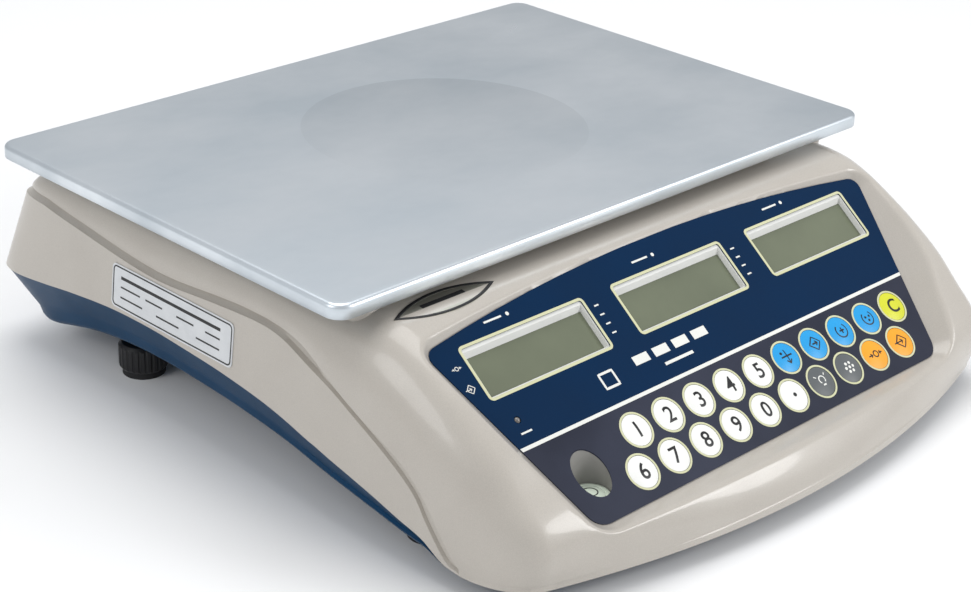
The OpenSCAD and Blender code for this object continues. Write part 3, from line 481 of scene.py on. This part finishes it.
def insidePocket(p):  # places where the housing is open behind the film and through the deck
    x, s, n = toPanel(p)
    if n > -2 and -30 < s < 76 and p[1] < -60:
        for i in (-1, 0, 1):
            if abs(x - i * panel["windowPitch"]) < panel["windowWidth"] / 2 + 0.9 \
                    and abs(s - panel["windowAt"]) < panel["windowHeight"] / 2 + 0.9:
                return True
        for row in (0, 1):
            middle = (0.985 - row / 2) * panel["keyPitch"]
            if abs(x - middle) < 98.6 and abs(s + row * panel["rowPitch"]) < 9.6:
                return True
        if math.hypot(x - levelPlace[0], p[1] - levelPlace[1]) < 10.4:
            return True
        return math.hypot(x - lampPlace[0], s - lampPlace[1]) < 2.6
    return p[2] > 92 and abs(p[0]) < 18 and abs(p[1] - postY) < 18


pan = {"width": 340, "depth": 235, "height": 105, "sheet": 1.5, "rim": 6.6, "corner": 8, "bend": 2.1,
       "dishRadius": 68, "dishDepth": 1.0}
panY = frontY + 115 + pan["depth"] / 2
postY = panY + 130 / 2 - 20
rear = {"switchX": 96, "inletX": 60, "height": 60}


def onRear(x, u, v, n=0.0):  # u across as seen from behind, v up the wall, n out of it
    a = math.atan(body["rearLean"])
    y0 = backY - body["rearLean"] * (rear["height"] - body["partHeight"])
    return [x - u, y0 - v * math.sin(a) + n * math.cos(a), rear["height"] + v * math.cos(a) + n * math.sin(a)]


def buildHousing():
    rings = []
    for i, row in enumerate(finerRows(hoodRows, skinSteps["hoodGap"], 3)):
        ring = bothSides(hoodHalf(*row))
        if i == 0:
            ring = [[p[0], p[1], body["lipHeight"]] for p in ring]
        rings.append(ring)
    rings += [bothSides(rearHalf(*row)) for row in finerRows(rearRows, skinSteps["rearGap"], 2)]
    points = [sinkPanel(p) for ring in rings for p in ring]
    count = len(rings[0])
    faces = []
    for j in range(len(rings) - 1):
        for i in range(count - 1):
            a = j * count + i
            quad = (a, a + 1, a + 1 + count, a + count)
            middle = [sum(points[k][m] for k in quad) / 4 for m in range(3)]
            if not insidePocket(middle):
                faces.append(quad)
    # rear wall with its two openings
    last = list(range((len(rings) - 1) * count, len(rings) * count))
    bm = bmesh.new()
    edge = [bm.verts.new(points[k]) for k in last]
    switch = [bm.verts.new(onRear(rear["switchX"], u, v)) for u, v in
              ((-6.6, -9.6), (6.6, -9.6), (6.6, 9.6), (-6.6, 9.6))]
    inlet = [bm.verts.new(onRear(rear["inletX"], 5.3 * math.cos(2 * math.pi * i / 24),
                                 5.3 * math.sin(2 * math.pi * i / 24))) for i in range(24)]
    for loop in (edge, switch, inlet):
        for a, b in zip(loop, loop[1:] + loop[:1]):
            bm.edges.new((a, b))
    bmesh.ops.triangle_fill(bm, edges=bm.edges[:], use_beauty=True)
    bm.verts.index_update()
    start = len(points)
    points += [list(v.co) for v in bm.verts]
    faces += [tuple(start + v.index for v in f.verts) for f in bm.faces]
    bm.free()
    obj = bpy.data.objects.new("upper_shell", makeMesh("upper_shell", points, faces))
    bpy.context.scene.collection.objects.link(obj)
    bm = bmesh.new()
    bm.from_mesh(obj.data)
    bmesh.ops.remove_doubles(bm, verts=bm.verts, dist=0.004 * mm)
    bmesh.ops.dissolve_degenerate(bm, edges=bm.edges, dist=0.002 * mm)
    loose = [v for v in bm.verts if not v.link_faces]
    bmesh.ops.delete(bm, geom=loose, context="VERTS")
    bmesh.ops.recalc_face_normals(bm, faces=bm.faces)
    top = max(bm.faces, key=lambda f: f.calc_center_median().z)
    if top.normal.z < 0:
        bmesh.ops.reverse_faces(bm, faces=bm.faces[:])
    bm.to_mesh(obj.data)
    bm.free()
    thick = obj.modifiers.new("wall", "SOLIDIFY")
    thick.thickness, thick.offset = body["wall"] * mm, -1
    applyModifiers(obj)
    finishPiece(obj, looks["housing"], "base", ["upper_housing"], 38)
    return obj


buildHousing()

deck = {"width": 304, "back": 334, "corner": 6, "edge": 1.2, "drop": 8}


def buildDeck():
    y = frontY + (body["frontLength"] + deck["back"]) / 2
    depth = deck["back"] - body["frontLength"]
    top = body["deckHeight"]

    def ring(inset, z):
        corner = deck["corner"] - inset * 0.8
        return boxLoop(0, y, z, deck["width"] - 2 * inset, depth - 2 * inset, corner)
    loops = [ring(0, top - deck["drop"])]
    for i in range(6):
        a = math.radians(90 * i / 5)
        loops.append(ring(deck["edge"] * (1 - math.cos(a)), top - deck["edge"] * (1 - math.sin(a))))
    hole = [[sx * 18, postY + sy * 18, top] for sx, sy in ((1, 1), (-1, 1), (-1, -1), (1, -1))]
    bm = bmesh.new()
    outer = [bm.verts.new(p) for p in loops[-1]]
    inner = [bm.verts.new(p) for p in hole]
    for loop in (outer, inner):
        for a, b in zip(loop, loop[1:] + loop[:1]):
            bm.edges.new((a, b))
    bmesh.ops.triangle_fill(bm, edges=bm.edges[:], use_beauty=True)
    bm.verts.index_update()
    points, faces = skinLoops(loops, False, False)
    start = len(points)
    points = [list(p) for p in points] + [list(v.co) for v in bm.verts]
    faces += [tuple(start + v.index for v in f.verts) for f in bm.faces]
    bm.free()
    obj = makePiece("deck_rim", points, faces, looks["housing"], sharp=40)
    thick = obj.modifiers.new("wall", "SOLIDIFY")
    thick.thickness, thick.offset = 2 * mm, -1
    applyModifiers(obj)


buildDeck()
print("housing ready")

# ---- base ----

base = {"slope": 0.42, "lean": 0.55, "wall": 2.2, "plateTop": 11.2, "round": 3.5, "footX": 137,
        "footYs": (frontY + 95, backY - 77), "pocketRadius": 13.5, "pocketTop": 19,
        "door": (83, panY - 2, 86.4, 117.4), "doorTop": 27.2}


def baseRing(d, x, b, y, lean):
    a = curveAt(archLine, d)
    floorX = x - base["slope"] * (b - a)
    r = min(base["round"], (b - a) * 0.45)
    sideRun = [[x + (floorX - x) * s / 6, b + (a + r - b) * s / 6] for s in range(6)]
    bend = []
    for i in range(6):
        over, rise = (i / 5) ** 2, (1 - i / 5) ** 2
        bend.append([floorX + base["slope"] * r * rise - 1.2 * r * over, a + r * rise])
    inward = bend[-1][0]
    floor = [[inward * (1 - s / 10), a] for s in range(1, 11)]
    half = sideRun + bend + floor
    ring = half + [[-p[0], p[1]] for p in half[-2::-1]]
    return [[p[0], y - lean * base["lean"] * (b - p[1]), p[1]] for p in ring]


def buildBase():
    rings = []
    wall = 2.6
    last = None
    for i in range(1, 41):
        q = 0.99 * math.sin(math.radians(90 * i / 40)) ** 0.8
        d = 1.15 * wall + 1.9 + hoodRows[1][1] * q * q + hoodRows[1][2] * cornerShare(q)
        x = q * (cheekX(54, 9) + curveAt(edgeLine, 54) - wall) - 0.6
        rings.append(baseRing(d, max(x, 4), base["plateTop"], frontY + d, 0))
        last = x
    rings.append(baseRing(62, last, 10.6, frontY + 62, 0))
    for row in finerRows(hoodRows, 4, 3):
        d = row[0] + row[1] + row[2]
        if d > 64 and d > (rings[-1][0][1] - frontY) + 1:
            b = curveAt(seamLine, d)
            rings.append(baseRing(d, cheekX(d, b) - 0.3, b - body["seam"], frontY + d, 0))
    for row in finerRows(rearRows, 5, 2):
        d = body["depth"] - row[0]
        b = curveAt(seamLine, d)
        y = frontY + d - row[3] * body["rearLean"] * (b - body["partHeight"]) - (0.2 if row[3] > 0 else 0)
        rings.append(baseRing(d, cheekX(d, b) - 0.3 - row[1], b - body["seam"], y, row[3]))
    count = len(rings[0])
    points = [p for ring in rings for p in ring]
    faces = [(j * count + i, j * count + i + 1, (j + 1) * count + i + 1, (j + 1) * count + i)
             for j in range(len(rings) - 1) for i in range(count - 1)]
    faces.append(tuple(range(count)))
    faces.append(tuple(range((len(rings) - 1) * count, len(rings) * count)))
    obj = bpy.data.objects.new("base_tray", makeMesh("base_tray", points, faces))
    bpy.context.scene.collection.objects.link(obj)
    recalcNormals(obj)
    bm = bmesh.new()
    bm.from_mesh(obj.data)
    low = min(bm.faces, key=lambda f: f.calc_center_median().z)
    if low.normal.z > 0:
        bmesh.ops.reverse_faces(bm, faces=bm.faces[:])
    bm.to_mesh(obj.data)
    bm.free()
    thick = obj.modifiers.new("wall", "SOLIDIFY")
    thick.thickness, thick.offset = base["wall"] * mm, -1
    applyModifiers(obj)
    cutters = []
    for y in base["footYs"]:
        for side in (-1, 1):
            radius = base["pocketRadius"] if y < 0 else 4.2
            cutters.append(scratchSolid(*skinLoops([circleLoop(side * base["footX"], y, 2, radius, 64),
                                                    circleLoop(side * base["footX"], y, 34, radius, 64)])))
    x, y, w, d = base["door"]
    cutters.append(scratchSolid(*skinLoops([boxLoop(x, y, 12, w, d, 3.2), boxLoop(x, y, 36, w, d, 3.2)])))
    for px, py in casePosts:
        well = [circleLoop(px, py, z, screwWell, 32) for z in (2, 24)]
        cutters.append(scratchSolid(*skinLoops(well)))
    cutWith(obj, cutters)
    finishPiece(obj, looks["base"], "base", ["lower_housing"], 30)


casePosts = [(s * x, y) for s in (-1, 1) for x, y in (
    (halfWidth - 27, frontY + body["frontLength"] + 1),
    (60, frontY + 15.5),
    (halfWidth - 35, backY - 35))]
screwWell = 3.2


def buildCups():  # pockets round the front feet, the rear bosses, the door's frame and the screws' wells
    points, faces = [], []
    stud = 4.1

    def add(loops):
        p, f = skinLoops(loops, False, False)
        faces.extend(tuple(len(points) + k for k in face) for face in f)
        points.extend(p)
    for y in base["footYs"]:
        for side in (-1, 1):
            x = side * base["footX"]
            outer = base["pocketRadius"]
            low = 12.2 if y < 0 else 22.4
            top = base["pocketTop"]
            if y < 0:
                profile = [(outer + 2.6, low + 2), (outer, low), (outer, top), (stud, top), (stud, 32),
                           (7, 32), (outer + 2.6, 31)]
            else:
                profile = [(9, 24.8), (stud, 24), (stud, 32), (9, 32)]
            add([circleLoop(x, y, z, r, 64) for r, z in profile + profile[:1]])
    x, y, w, d = base["door"]
    profile = [(0, 24.6), (0, base["doorTop"]), (8, base["doorTop"]), (8, 29.6), (-3, 29.6), (-3, 24.6)]
    add([boxLoop(x, y, z, w - 2 * i, d - 2 * i, 3.2 if i <= 0 else 2) for i, z in profile + profile[:1]])
    for px, py in casePosts:
        if py < -160:
            floor, top = 9.5, 11
        else:
            floor, top = (16, 28) if py < 0 else (14, 34)
        profile = [(screwWell, floor), (screwWell, top), (1.6, top), (1.6, top + 7), (4.5, top + 7),
                   (4.5, floor + 1.2), (screwWell, floor)]
        add([circleLoop(px, py, z, r, 32) for r, z in profile])
    makePiece("base_pockets", points, faces, looks["base"], sharp=30)


buildBase()
buildCups()
print("base ready")

# ---- pan ----


def buildPan():
    top, sheet, bend = pan["height"], pan["sheet"], pan["bend"]
    low = top - pan["rim"]

    def ring(inset, z):
        return boxLoop(0, panY, z, pan["width"] - 2 * inset, pan["depth"] - 2 * inset,
                       max(pan["corner"] - inset, 1.2), 12, 26, 18)

    def disc(r, z):
        loop = ring(0, 0)
        return [(r * math.cos(a), panY + r * math.sin(a), z)
                for a in (math.atan2(p[1] - panY, p[0]) for p in loop)]
    dish, depth = pan["dishRadius"], pan["dishDepth"]
    bowl = [(1 - s / 16, depth * (1 - (1 - s / 16) ** 2)) for s in range(1, 16)]
    loops = [disc(3, top - sheet - depth)]
    loops += [disc(dish * share, top - sheet - drop) for share, drop in bowl[::-1]]
    loops += [disc(dish, top - sheet), disc(dish + 8, top - sheet)]
    loops += [ring(9, top - sheet), ring(bend + 1.8, top - sheet)]
    loops += [ring(sheet + (bend - sheet + 0.6) * (1 - math.sin(math.radians(a))),
                   top - bend + (bend - sheet) * math.cos(math.radians(a)) - 0.1) for a in (30, 60, 90)]
    loops += [ring(sheet, low + 0.3), ring(sheet - 0.35, low), ring(0.35, low), ring(0, low + 0.35)]
    loops += [ring(bend * (1 - math.cos(math.radians(a))), top - bend * (1 - math.sin(math.radians(a))))
              for a in range(0, 91, 10)]
    loops += [ring(5, top), ring(9, top)]
    loops += [disc(dish + 8, top), disc(dish + 0.3, top), disc(dish - 0.3, top - 0.04)]
    loops += [disc(dish * share, top - drop) for share, drop in bowl] + [disc(3, top - depth)]
    points, faces = skinLoops(loops)
    makePiece("pan_sheet", points, faces, looks["pan"], "pan", ["weighing_pan"], 50)


def shadeDish(mat):  # painted light and painted shade: the sheet's colour is scaled lighter towards the front left and darker towards the back right, more steeply and darker inside the dish
    tree = mat.node_tree
    new, link = tree.nodes.new, tree.links.new
    shader = next(n for n in tree.nodes if n.type == "BSDF_PRINCIPLED")
    plain = shader.inputs["Base Color"].links[0].from_socket
    place, middle = new("ShaderNodeTexCoord"), new("ShaderNodeVectorMath")
    middle.operation = "SUBTRACT"
    middle.inputs[1].default_value = (0, panY * mm, pan["height"] * mm)
    link(place.outputs["Object"], middle.inputs[0])
    along, reach, inside = new("ShaderNodeVectorMath"), new("ShaderNodeVectorMath"), new("ShaderNodeMath")
    along.operation, reach.operation, inside.operation = "DOT_PRODUCT", "LENGTH", "LESS_THAN"
    along.inputs[1].default_value = (0.6, 0.8, 0)
    inside.inputs[1].default_value = pan["dishRadius"] * mm
    link(middle.outputs[0], along.inputs[0])
    link(middle.outputs[0], reach.inputs[0])
    link(reach.outputs["Value"], inside.inputs[0])
    gains = []
    for half, near, far in ((0.2, 1.08, 0.9), (0.068, 1.02, 0.84)):
        gain = new("ShaderNodeMapRange")
        for name, value in (("From Min", -half), ("From Max", half), ("To Min", near), ("To Max", far)):
            gain.inputs[name].default_value = value
        link(along.outputs["Value"], gain.inputs[0])
        gains.append(gain)
    pick, shade = new("ShaderNodeMix"), new("ShaderNodeVectorMath")
    link(inside.outputs[0], pick.inputs["Factor"])
    link(gains[0].outputs[0], pick.inputs[2])
    link(gains[1].outputs[0], pick.inputs[3])
    shade.operation = "SCALE"
    link(plain, shade.inputs[0])
    link(pick.outputs[0], shade.inputs["Scale"])
    link(shade.outputs[0], shader.inputs["Base Color"])


# painted shade: the pan material's colour gets a lighter-to-darker gradient across the sheet and the dish
shadeDish(looks["pan"])
buildPan()
print("pan ready")

# ---- marks on the keys ----

columns = {
    "key_1": (0, 0), "key_2": (1, 0), "key_3": (2, 0), "key_4": (3, 0), "key_5": (4, 0), "key_pieces": (5, 0),
    "key_unit_weight": (6, 0), "key_memory_add": (7, 0), "key_memory_check": (8, 0), "key_clear": (9, 0),
    "key_6": (0, 1), "key_7": (1, 1), "key_8": (2, 1), "key_9": (3, 1), "key_0": (4, 1), "key_point": (5, 1),
    "key_light": (6, 1), "key_sample": (7, 1), "key_zero": (8, 1), "key_tare": (9, 1),
}
mark = {"width": 0.75, "digit": 10.2, "lift": 0.05}


def keyPlace(name):
    column, row = columns[name]
    return (column - 3.515 - row / 2) * panel["keyPitch"], -row * panel["rowPitch"]


def strokeShape(path, width, closed=False):
    path = [Vector(p) for p in path]
    if closed:
        path = path + [path[0]]
    finer = [path[0]]
    for a, b in zip(path, path[1:]):
        n = max(1, math.ceil((b - a).length / 0.9))
        finer += [a.lerp(b, s / n) for s in range(1, n + 1)]
    points, faces = [], []
    for i, p in enumerate(finer):
        before = finer[max(0, i - 1)] if not closed or i else finer[-2]
        after = finer[min(len(finer) - 1, i + 1)] if not closed or i < len(finer) - 1 else finer[1]
        along = (after - before).normalized()
        out = Vector((-along.y, along.x)) * width / 2
        points += [tuple(p + out), tuple(p - out)]
    for i in range(len(finer) - 1):
        faces.append((2 * i, 2 * i + 1, 2 * i + 3, 2 * i + 2))
    return points, faces


def dotShape(x, y, r):
    points = [(x, y)] + [p[:2] for p in circleLoop(x, y, 0, r, 16)]
    return points, [(0, i + 1, (i + 1) % 16 + 1) for i in range(16)]


def arcPath(r, a0, a1, cx=0, cy=0):
    n = max(6, int(abs(a1 - a0) / 12))
    return [(cx + r * math.cos(math.radians(a0 + (a1 - a0) * i / n)),
             cy + r * math.sin(math.radians(a0 + (a1 - a0) * i / n))) for i in range(n + 1)]


def textShape(text, size):
    curve = bpy.data.curves.new("mark", "FONT")
    curve.body, curve.size = text, size
    curve.align_x, curve.align_y = "CENTER", "CENTER"
    curve.offset = 0.13
    curve.resolution_u = 6
    obj = bpy.data.objects.new("mark", curve)
    bpy.context.scene.collection.objects.link(obj)
    mesh = bpy.data.meshes.new_from_object(obj.evaluated_get(bpy.context.evaluated_depsgraph_get()))
    bm = bmesh.new()
    bm.from_mesh(mesh)
    bmesh.ops.triangulate(bm, faces=bm.faces)
    for _ in range(5):
        long = [e for e in bm.edges if e.calc_length() > 0.7]
        if long:
            bmesh.ops.subdivide_edges(bm, edges=long, cuts=1)
            bmesh.ops.triangulate(bm, faces=bm.faces)
    xs, ys = [v.co.x for v in bm.verts], [v.co.y for v in bm.verts]
    cx, cy = (min(xs) + max(xs)) / 2, (min(ys) + max(ys)) / 2
    points = [(v.co.x - cx, v.co.y - cy) for v in bm.verts]
    faces = [tuple(v.index for v in f.verts) for f in bm.faces]
    bm.free()
    bpy.data.meshes.remove(mesh)
    bpy.data.objects.remove(obj)
    return points, faces


def joined(shapes):
    points, faces = [], []
    for p, f in shapes:
        faces += [tuple(len(points) + k for k in face) for face in f]
        points += p
    return points, faces


w = mark["width"]
diamond = strokeShape([(-3.6, 0), (0, 3.4), (3.6, 0), (0, -3.4)], w * 0.8, True)
openRing = strokeShape(arcPath(3.4, -230, 50), w * 0.8)
sixAround = [p[:2] for p in circleLoop(0, 0, 0, 2.3, 6)]
marks = {
    "key_pieces": [strokeShape([(-3.4, 0.4), (3.4, 0.4)], w), strokeShape([(0, 3.6), (0, -3.4)], w * 0.8),
                   strokeShape([(-1.5, -1.6), (0, -3.4), (1.5, -1.6)], w * 0.8), dotShape(-2.4, 2.4, 0.7)],
    "key_unit_weight": [diamond, strokeShape([(-1.8, 0), (1.4, 0)], w),
                        strokeShape([(0.2, 1.2), (1.6, 0), (0.2, -1.2)], w * 0.8)],
    "key_memory_add": [openRing, strokeShape([(-1.5, 0), (1.5, 0)], w),
                       strokeShape([(0, -1.5), (0, 1.5)], w)],
    "key_memory_check": [openRing] + [dotShape(x, y, 0.65) for x, y in ((-1.3, 0.6), (1.3, 0.6), (0, -1.3))],
    "key_light": [strokeShape(arcPath(1.8, -50, 230, 0, 0.5), w * 0.8),
                  strokeShape([(-0.9, -2), (0.9, -2)], w),
                  strokeShape([(2.6, 2.2), (3.6, 3.2)], w * 0.7),
                  strokeShape([(-2.6, 2.2), (-3.6, 3.2)], w * 0.7)],
    "key_sample": [dotShape(0, 0, 0.75)] + [dotShape(x, y, 0.75) for x, y in sixAround],
    "key_zero": [strokeShape(arcPath(1.5, 0, 330), w * 0.8, True)]
    + [strokeShape([(4.6 * q, 0), (2.4 * q, 0)], w * 0.8) for q in (-1, 1)]
    + [strokeShape([(3.3 * q, 0.9), (2.3 * q, 0), (3.3 * q, -0.9)], w * 0.7) for q in (-1, 1)],
    "key_tare": [diamond, strokeShape([(-4.6, 0), (0.6, 0)], w * 0.8),
                 strokeShape([(-0.6, 1.2), (0.8, 0), (-0.6, -1.2)], w * 0.7)],
    "key_point": [dotShape(0, 0, 1.0)],
    "key_clear": [textShape("C", mark["digit"] * 0.95)],
}


def buildMarks():
    radius = (panel["keyRadius"] ** 2 + panel["keyDome"] ** 2) / (2 * panel["keyDome"])
    for name in columns:
        shapes = marks.get(name) or [textShape(name[-1], mark["digit"])]
        flat, faces = joined(shapes)
        kx, ks = keyPlace(name)
        points = []
        for x, y in flat:
            dome = panel["keyDome"] - radius + math.sqrt(radius * radius - x * x - y * y)
            points.append(fromPanel(kx + x, ks + y, dome + mark["lift"]))
        ink = "print_white" if name in ("key_light", "key_sample") else "black"
        makePiece("mark_" + name[4:], points, faces, looks[ink], name, flip=False)


buildMarks()
print("key marks ready")

# ---- small print beside the windows: plain arrows and steps in place of words ----


def buildPanelPrint():
    shapes = []

    def put(shape, x, s, scale=1.0):
        p, f = shape
        shapes.append(([(x + a * scale, s + b * scale) for a, b in p], f))
    left = -panel["windowPitch"] - panel["windowWidth"] / 2 - 6.5
    put(joined(marks["key_zero"]), left - 0.5, panel["windowAt"] + 5, 0.55)
    put(joined(marks["key_tare"]), left, panel["windowAt"] - 5, 0.6)
    for i in (-1, 0):
        x = i * panel["windowPitch"] + panel["windowWidth"] / 2 + 6
        for k in range(4):
            put(strokeShape([(-1.3, 0), (1.3, 0)], 0.7), x, panel["windowAt"] + 7 - 4.6 * k)
    for i in (-1, 0, 1):
        put(strokeShape([(-5, 0), (5, 0)], 0.9), i * panel["windowPitch"] - 12, panel["windowAt"] + 18.5)
        put(dotShape(0, 0, 0.9), i * panel["windowPitch"] - 3.5, panel["windowAt"] + 18.5)
    put(strokeShape([(-3, 0), (3, 0)], 0.8), lampPlace[0] + 0.5, lampPlace[1] - 6)
    nameBar = keyPlace("key_1")[0] + 3
    put(strokeShape([(-4, -3.4), (4, -3.4), (4, 3.4), (-4, 3.4)], 1.1, True), nameBar, 24)
    for k in range(4):
        put(strokeShape([(-4.6, 0), (4.6, 0)], 4.2), nameBar + 22 + 12.5 * k, 26.5)
    put(strokeShape([(-9, 0), (9, 0)], 1.4), nameBar + 41, 20)
    flat, faces = joined(shapes)
    points = [fromPanel(x, s, 0.05) for x, s in flat]
    makePiece("panel_print", points, faces, looks["print_white"], flip=False)


buildPanelPrint()

# ---- level, label and badge ----

level = {"radius": 8.35, "floor": 26.52, "ring": 3.1}


def buildLevel():
    x, y = levelPlace
    z = level["floor"]
    r = level["radius"]
    profile = [(0.3, z), (r, z), (r, z + 3), (r - 0.4, z + 3.3), (r - 1.6, z + 3.4), (r - 2, z + 3.1)]
    for degrees in range(15, 90, 15):
        a = math.radians(degrees)
        profile.append(((r - 2) * math.cos(a), z + 3.1 + 0.85 * math.sin(a)))
    profile += [(0.3, z + 3.95)]
    points, faces = skinLoops([circleLoop(x, y, h, q, 64) for q, h in profile])
    makePiece("level_body", points, faces, looks["vial"], "base", ["level_vial"])
    inner, outer = level["ring"] - 0.25, level["ring"] + 0.25
    ring = [(inner, z + 3.86), (inner, z + 3.94), (outer, z + 3.93), (outer, z + 3.8)]
    points, faces = skinLoops([circleLoop(x, y, h, q, 64) for q, h in ring + ring[:1]], False, False)
    makePiece("level_ring", points, faces, looks["black"])


label = {"y": 48.5, "z": 58.5, "wide": 85, "tall": 20.5, "thick": 0.44}


def buildLabel():
    y, z = label["y"], label["z"]
    x = -cheekX(300, z) - 0.02
    tilt = math.atan(body["draft"])

    c, s = math.cos(tilt), math.sin(tilt)

    def place(u, v, n):  # u towards the front, v up, n out of the cheek
        return [x - n * c + v * s, y - u, z + v * c + n * s]
    shapes = []
    frameLoop = [p[:2] for p in boxLoop(0, 0, 0, label["wide"] - 2.2, label["tall"] - 2.2, 2, 6)]
    shapes.append(strokeShape(frameLoop, 0.7, True))
    for v, spans in ((4.6, [(-36, 34)]), (0.2, [(-36, -22), (-18, -6), (4, 16), (24, 34)]),
                     (-4.6, [(-36, -20), (-10, 6), (18, 34)])):
        for a, b in spans:
            shapes.append(strokeShape([(a, v), (b, v)], 1.5 if v > 3 else 0.8))
    flat, faces = joined(shapes)
    points = [place(u, v, label["thick"]) for u, v in flat]
    makePiece("label_print", points, faces, looks["black"], flip=False)


badge = {"x": -115, "y": frontY + 112.5, "z": 92.4, "wide": 56, "tall": 15, "tilt": 8}


def buildBadge():
    x, y, z, wide, tall = (badge[k] for k in ("x", "y", "z", "wide", "tall"))
    a = math.radians(badge["tilt"])
    r = (wide * wide / 4 + tall * tall / 4) / tall
    sweep = math.asin(wide / 2 / r)

    def lens(inset):
        n = 40
        shape = []
        for i in range(n + 1):
            t = sweep * (1 - inset * 0.035) * (1 - 2 * i / n)
            shape.append(((r - inset) * math.sin(t), (r - inset) * math.cos(t) - r + tall / 2))
        return shape + [(-p[0], -p[1]) for p in shape[1:-1]]

    def place(u, v, n):
        return [x + u, y + v * math.cos(a) - n * math.sin(a), z + v * math.sin(a) + n * math.cos(a)]
    profile = [(0, 0.1), (0, 0.32), (0.35, 0.46), (1.1, 0.46), (1.4, 0.3), (1.4, 0.1)]
    loops = [[place(u, v, n) for u, v in lens(inset)] for inset, n in profile + profile[:1]]
    points, faces = skinLoops(loops, False, False)
    makePiece("badge_rim", points, faces, looks["black"])
    shapes = [strokeShape([(-12, 1.4), (12, 1.4)], 2.4), strokeShape([(-8, -2.2), (8, -2.2)], 1.0)]
    flat, faces = joined(shapes)
    points = [place(u, v, 0.15) for u, v in flat]
    makePiece("badge_print", points, faces, looks["black"], flip=False)


buildLevel()
buildLabel()
buildBadge()
print("small pieces ready")

# ---- camera, floor and light ----

camera = {"place": (-0.65881, -0.62537, 0.45924), "azimuth": -45.658, "elevation": 25.128, "roll": 1.927,
          "lens": 78.77, "sensor": 36}


def buildCamera():
    az, el, roll = (math.radians(camera[k]) for k in ("azimuth", "elevation", "roll"))
    forward = Vector((-math.sin(az) * math.cos(el), math.cos(az) * math.cos(el), -math.sin(el)))
    right = Vector((math.cos(az), math.sin(az), 0))
    down = forward.cross(right)
    c, s = math.cos(roll), math.sin(roll)
    turned = (right * c - down * s, right * s + down * c)
    data = bpy.data.cameras.new("camera")
    data.lens, data.sensor_width = camera["lens"], camera["sensor"]
    data.clip_start, data.clip_end = 0.05, 20
    obj = bpy.data.objects.new("camera", data)
    axes = Matrix((turned[0], -turned[1], -forward)).transposed()
    obj.matrix_world = Matrix.Translation(camera["place"]) @ axes.to_4x4()
    bpy.context.scene.collection.objects.link(obj)
    bpy.context.scene.camera = obj


def addLight(name, place, aim, size, power, color=(1, 1, 1)):
    data = bpy.data.lights.new(name, "AREA")
    data.shape, data.size, data.energy, data.color = "DISK", size, power, color
    obj = bpy.data.objects.new(name, data)
    obj.location = place
    obj.rotation_euler = (Vector(aim) - Vector(place)).to_track_quat("-Z", "Y").to_euler()
    bpy.context.scene.collection.objects.link(obj)


studio = {"floorReach": 3000, "worldColor": (0.95, 0.97, 1.0, 1), "worldStrength": 0.62}


def buildStudio():
    r = studio["floorReach"]
    data = makeMesh("floor", [(-r, -r, 0), (r, -r, 0), (r, r, 0), (-r, r, 0)], [(0, 1, 2, 3)])
    floor = bpy.data.objects.new("floor", data)
    pale = surface("pale floor", linear(244, 244, 244), linear(240, 240, 240), 2, rough=0.7, bump=0.0)
    floor.data.materials.append(pale)
    bpy.context.scene.collection.objects.link(floor)
    world = bpy.data.worlds.new("studio")
    world.use_nodes = True
    back = world.node_tree.nodes["Background"]
    back.inputs[0].default_value = studio["worldColor"]
    back.inputs[1].default_value = studio["worldStrength"]
    bpy.context.scene.world = world
    addLight("over", (0.1, 0.3, 1.5), (0, 0, 0.05), 1.2, 11)
    addLight("front right", (0.9, -1.3, 0.8), (0, -0.1, 0.05), 0.7, 11)
    addLight("left", (-1.4, 0.2, 0.9), (0, 0, 0.05), 0.8, 5)
    bpy.context.scene.view_settings.view_transform = "Standard"


buildCamera()
buildStudio()
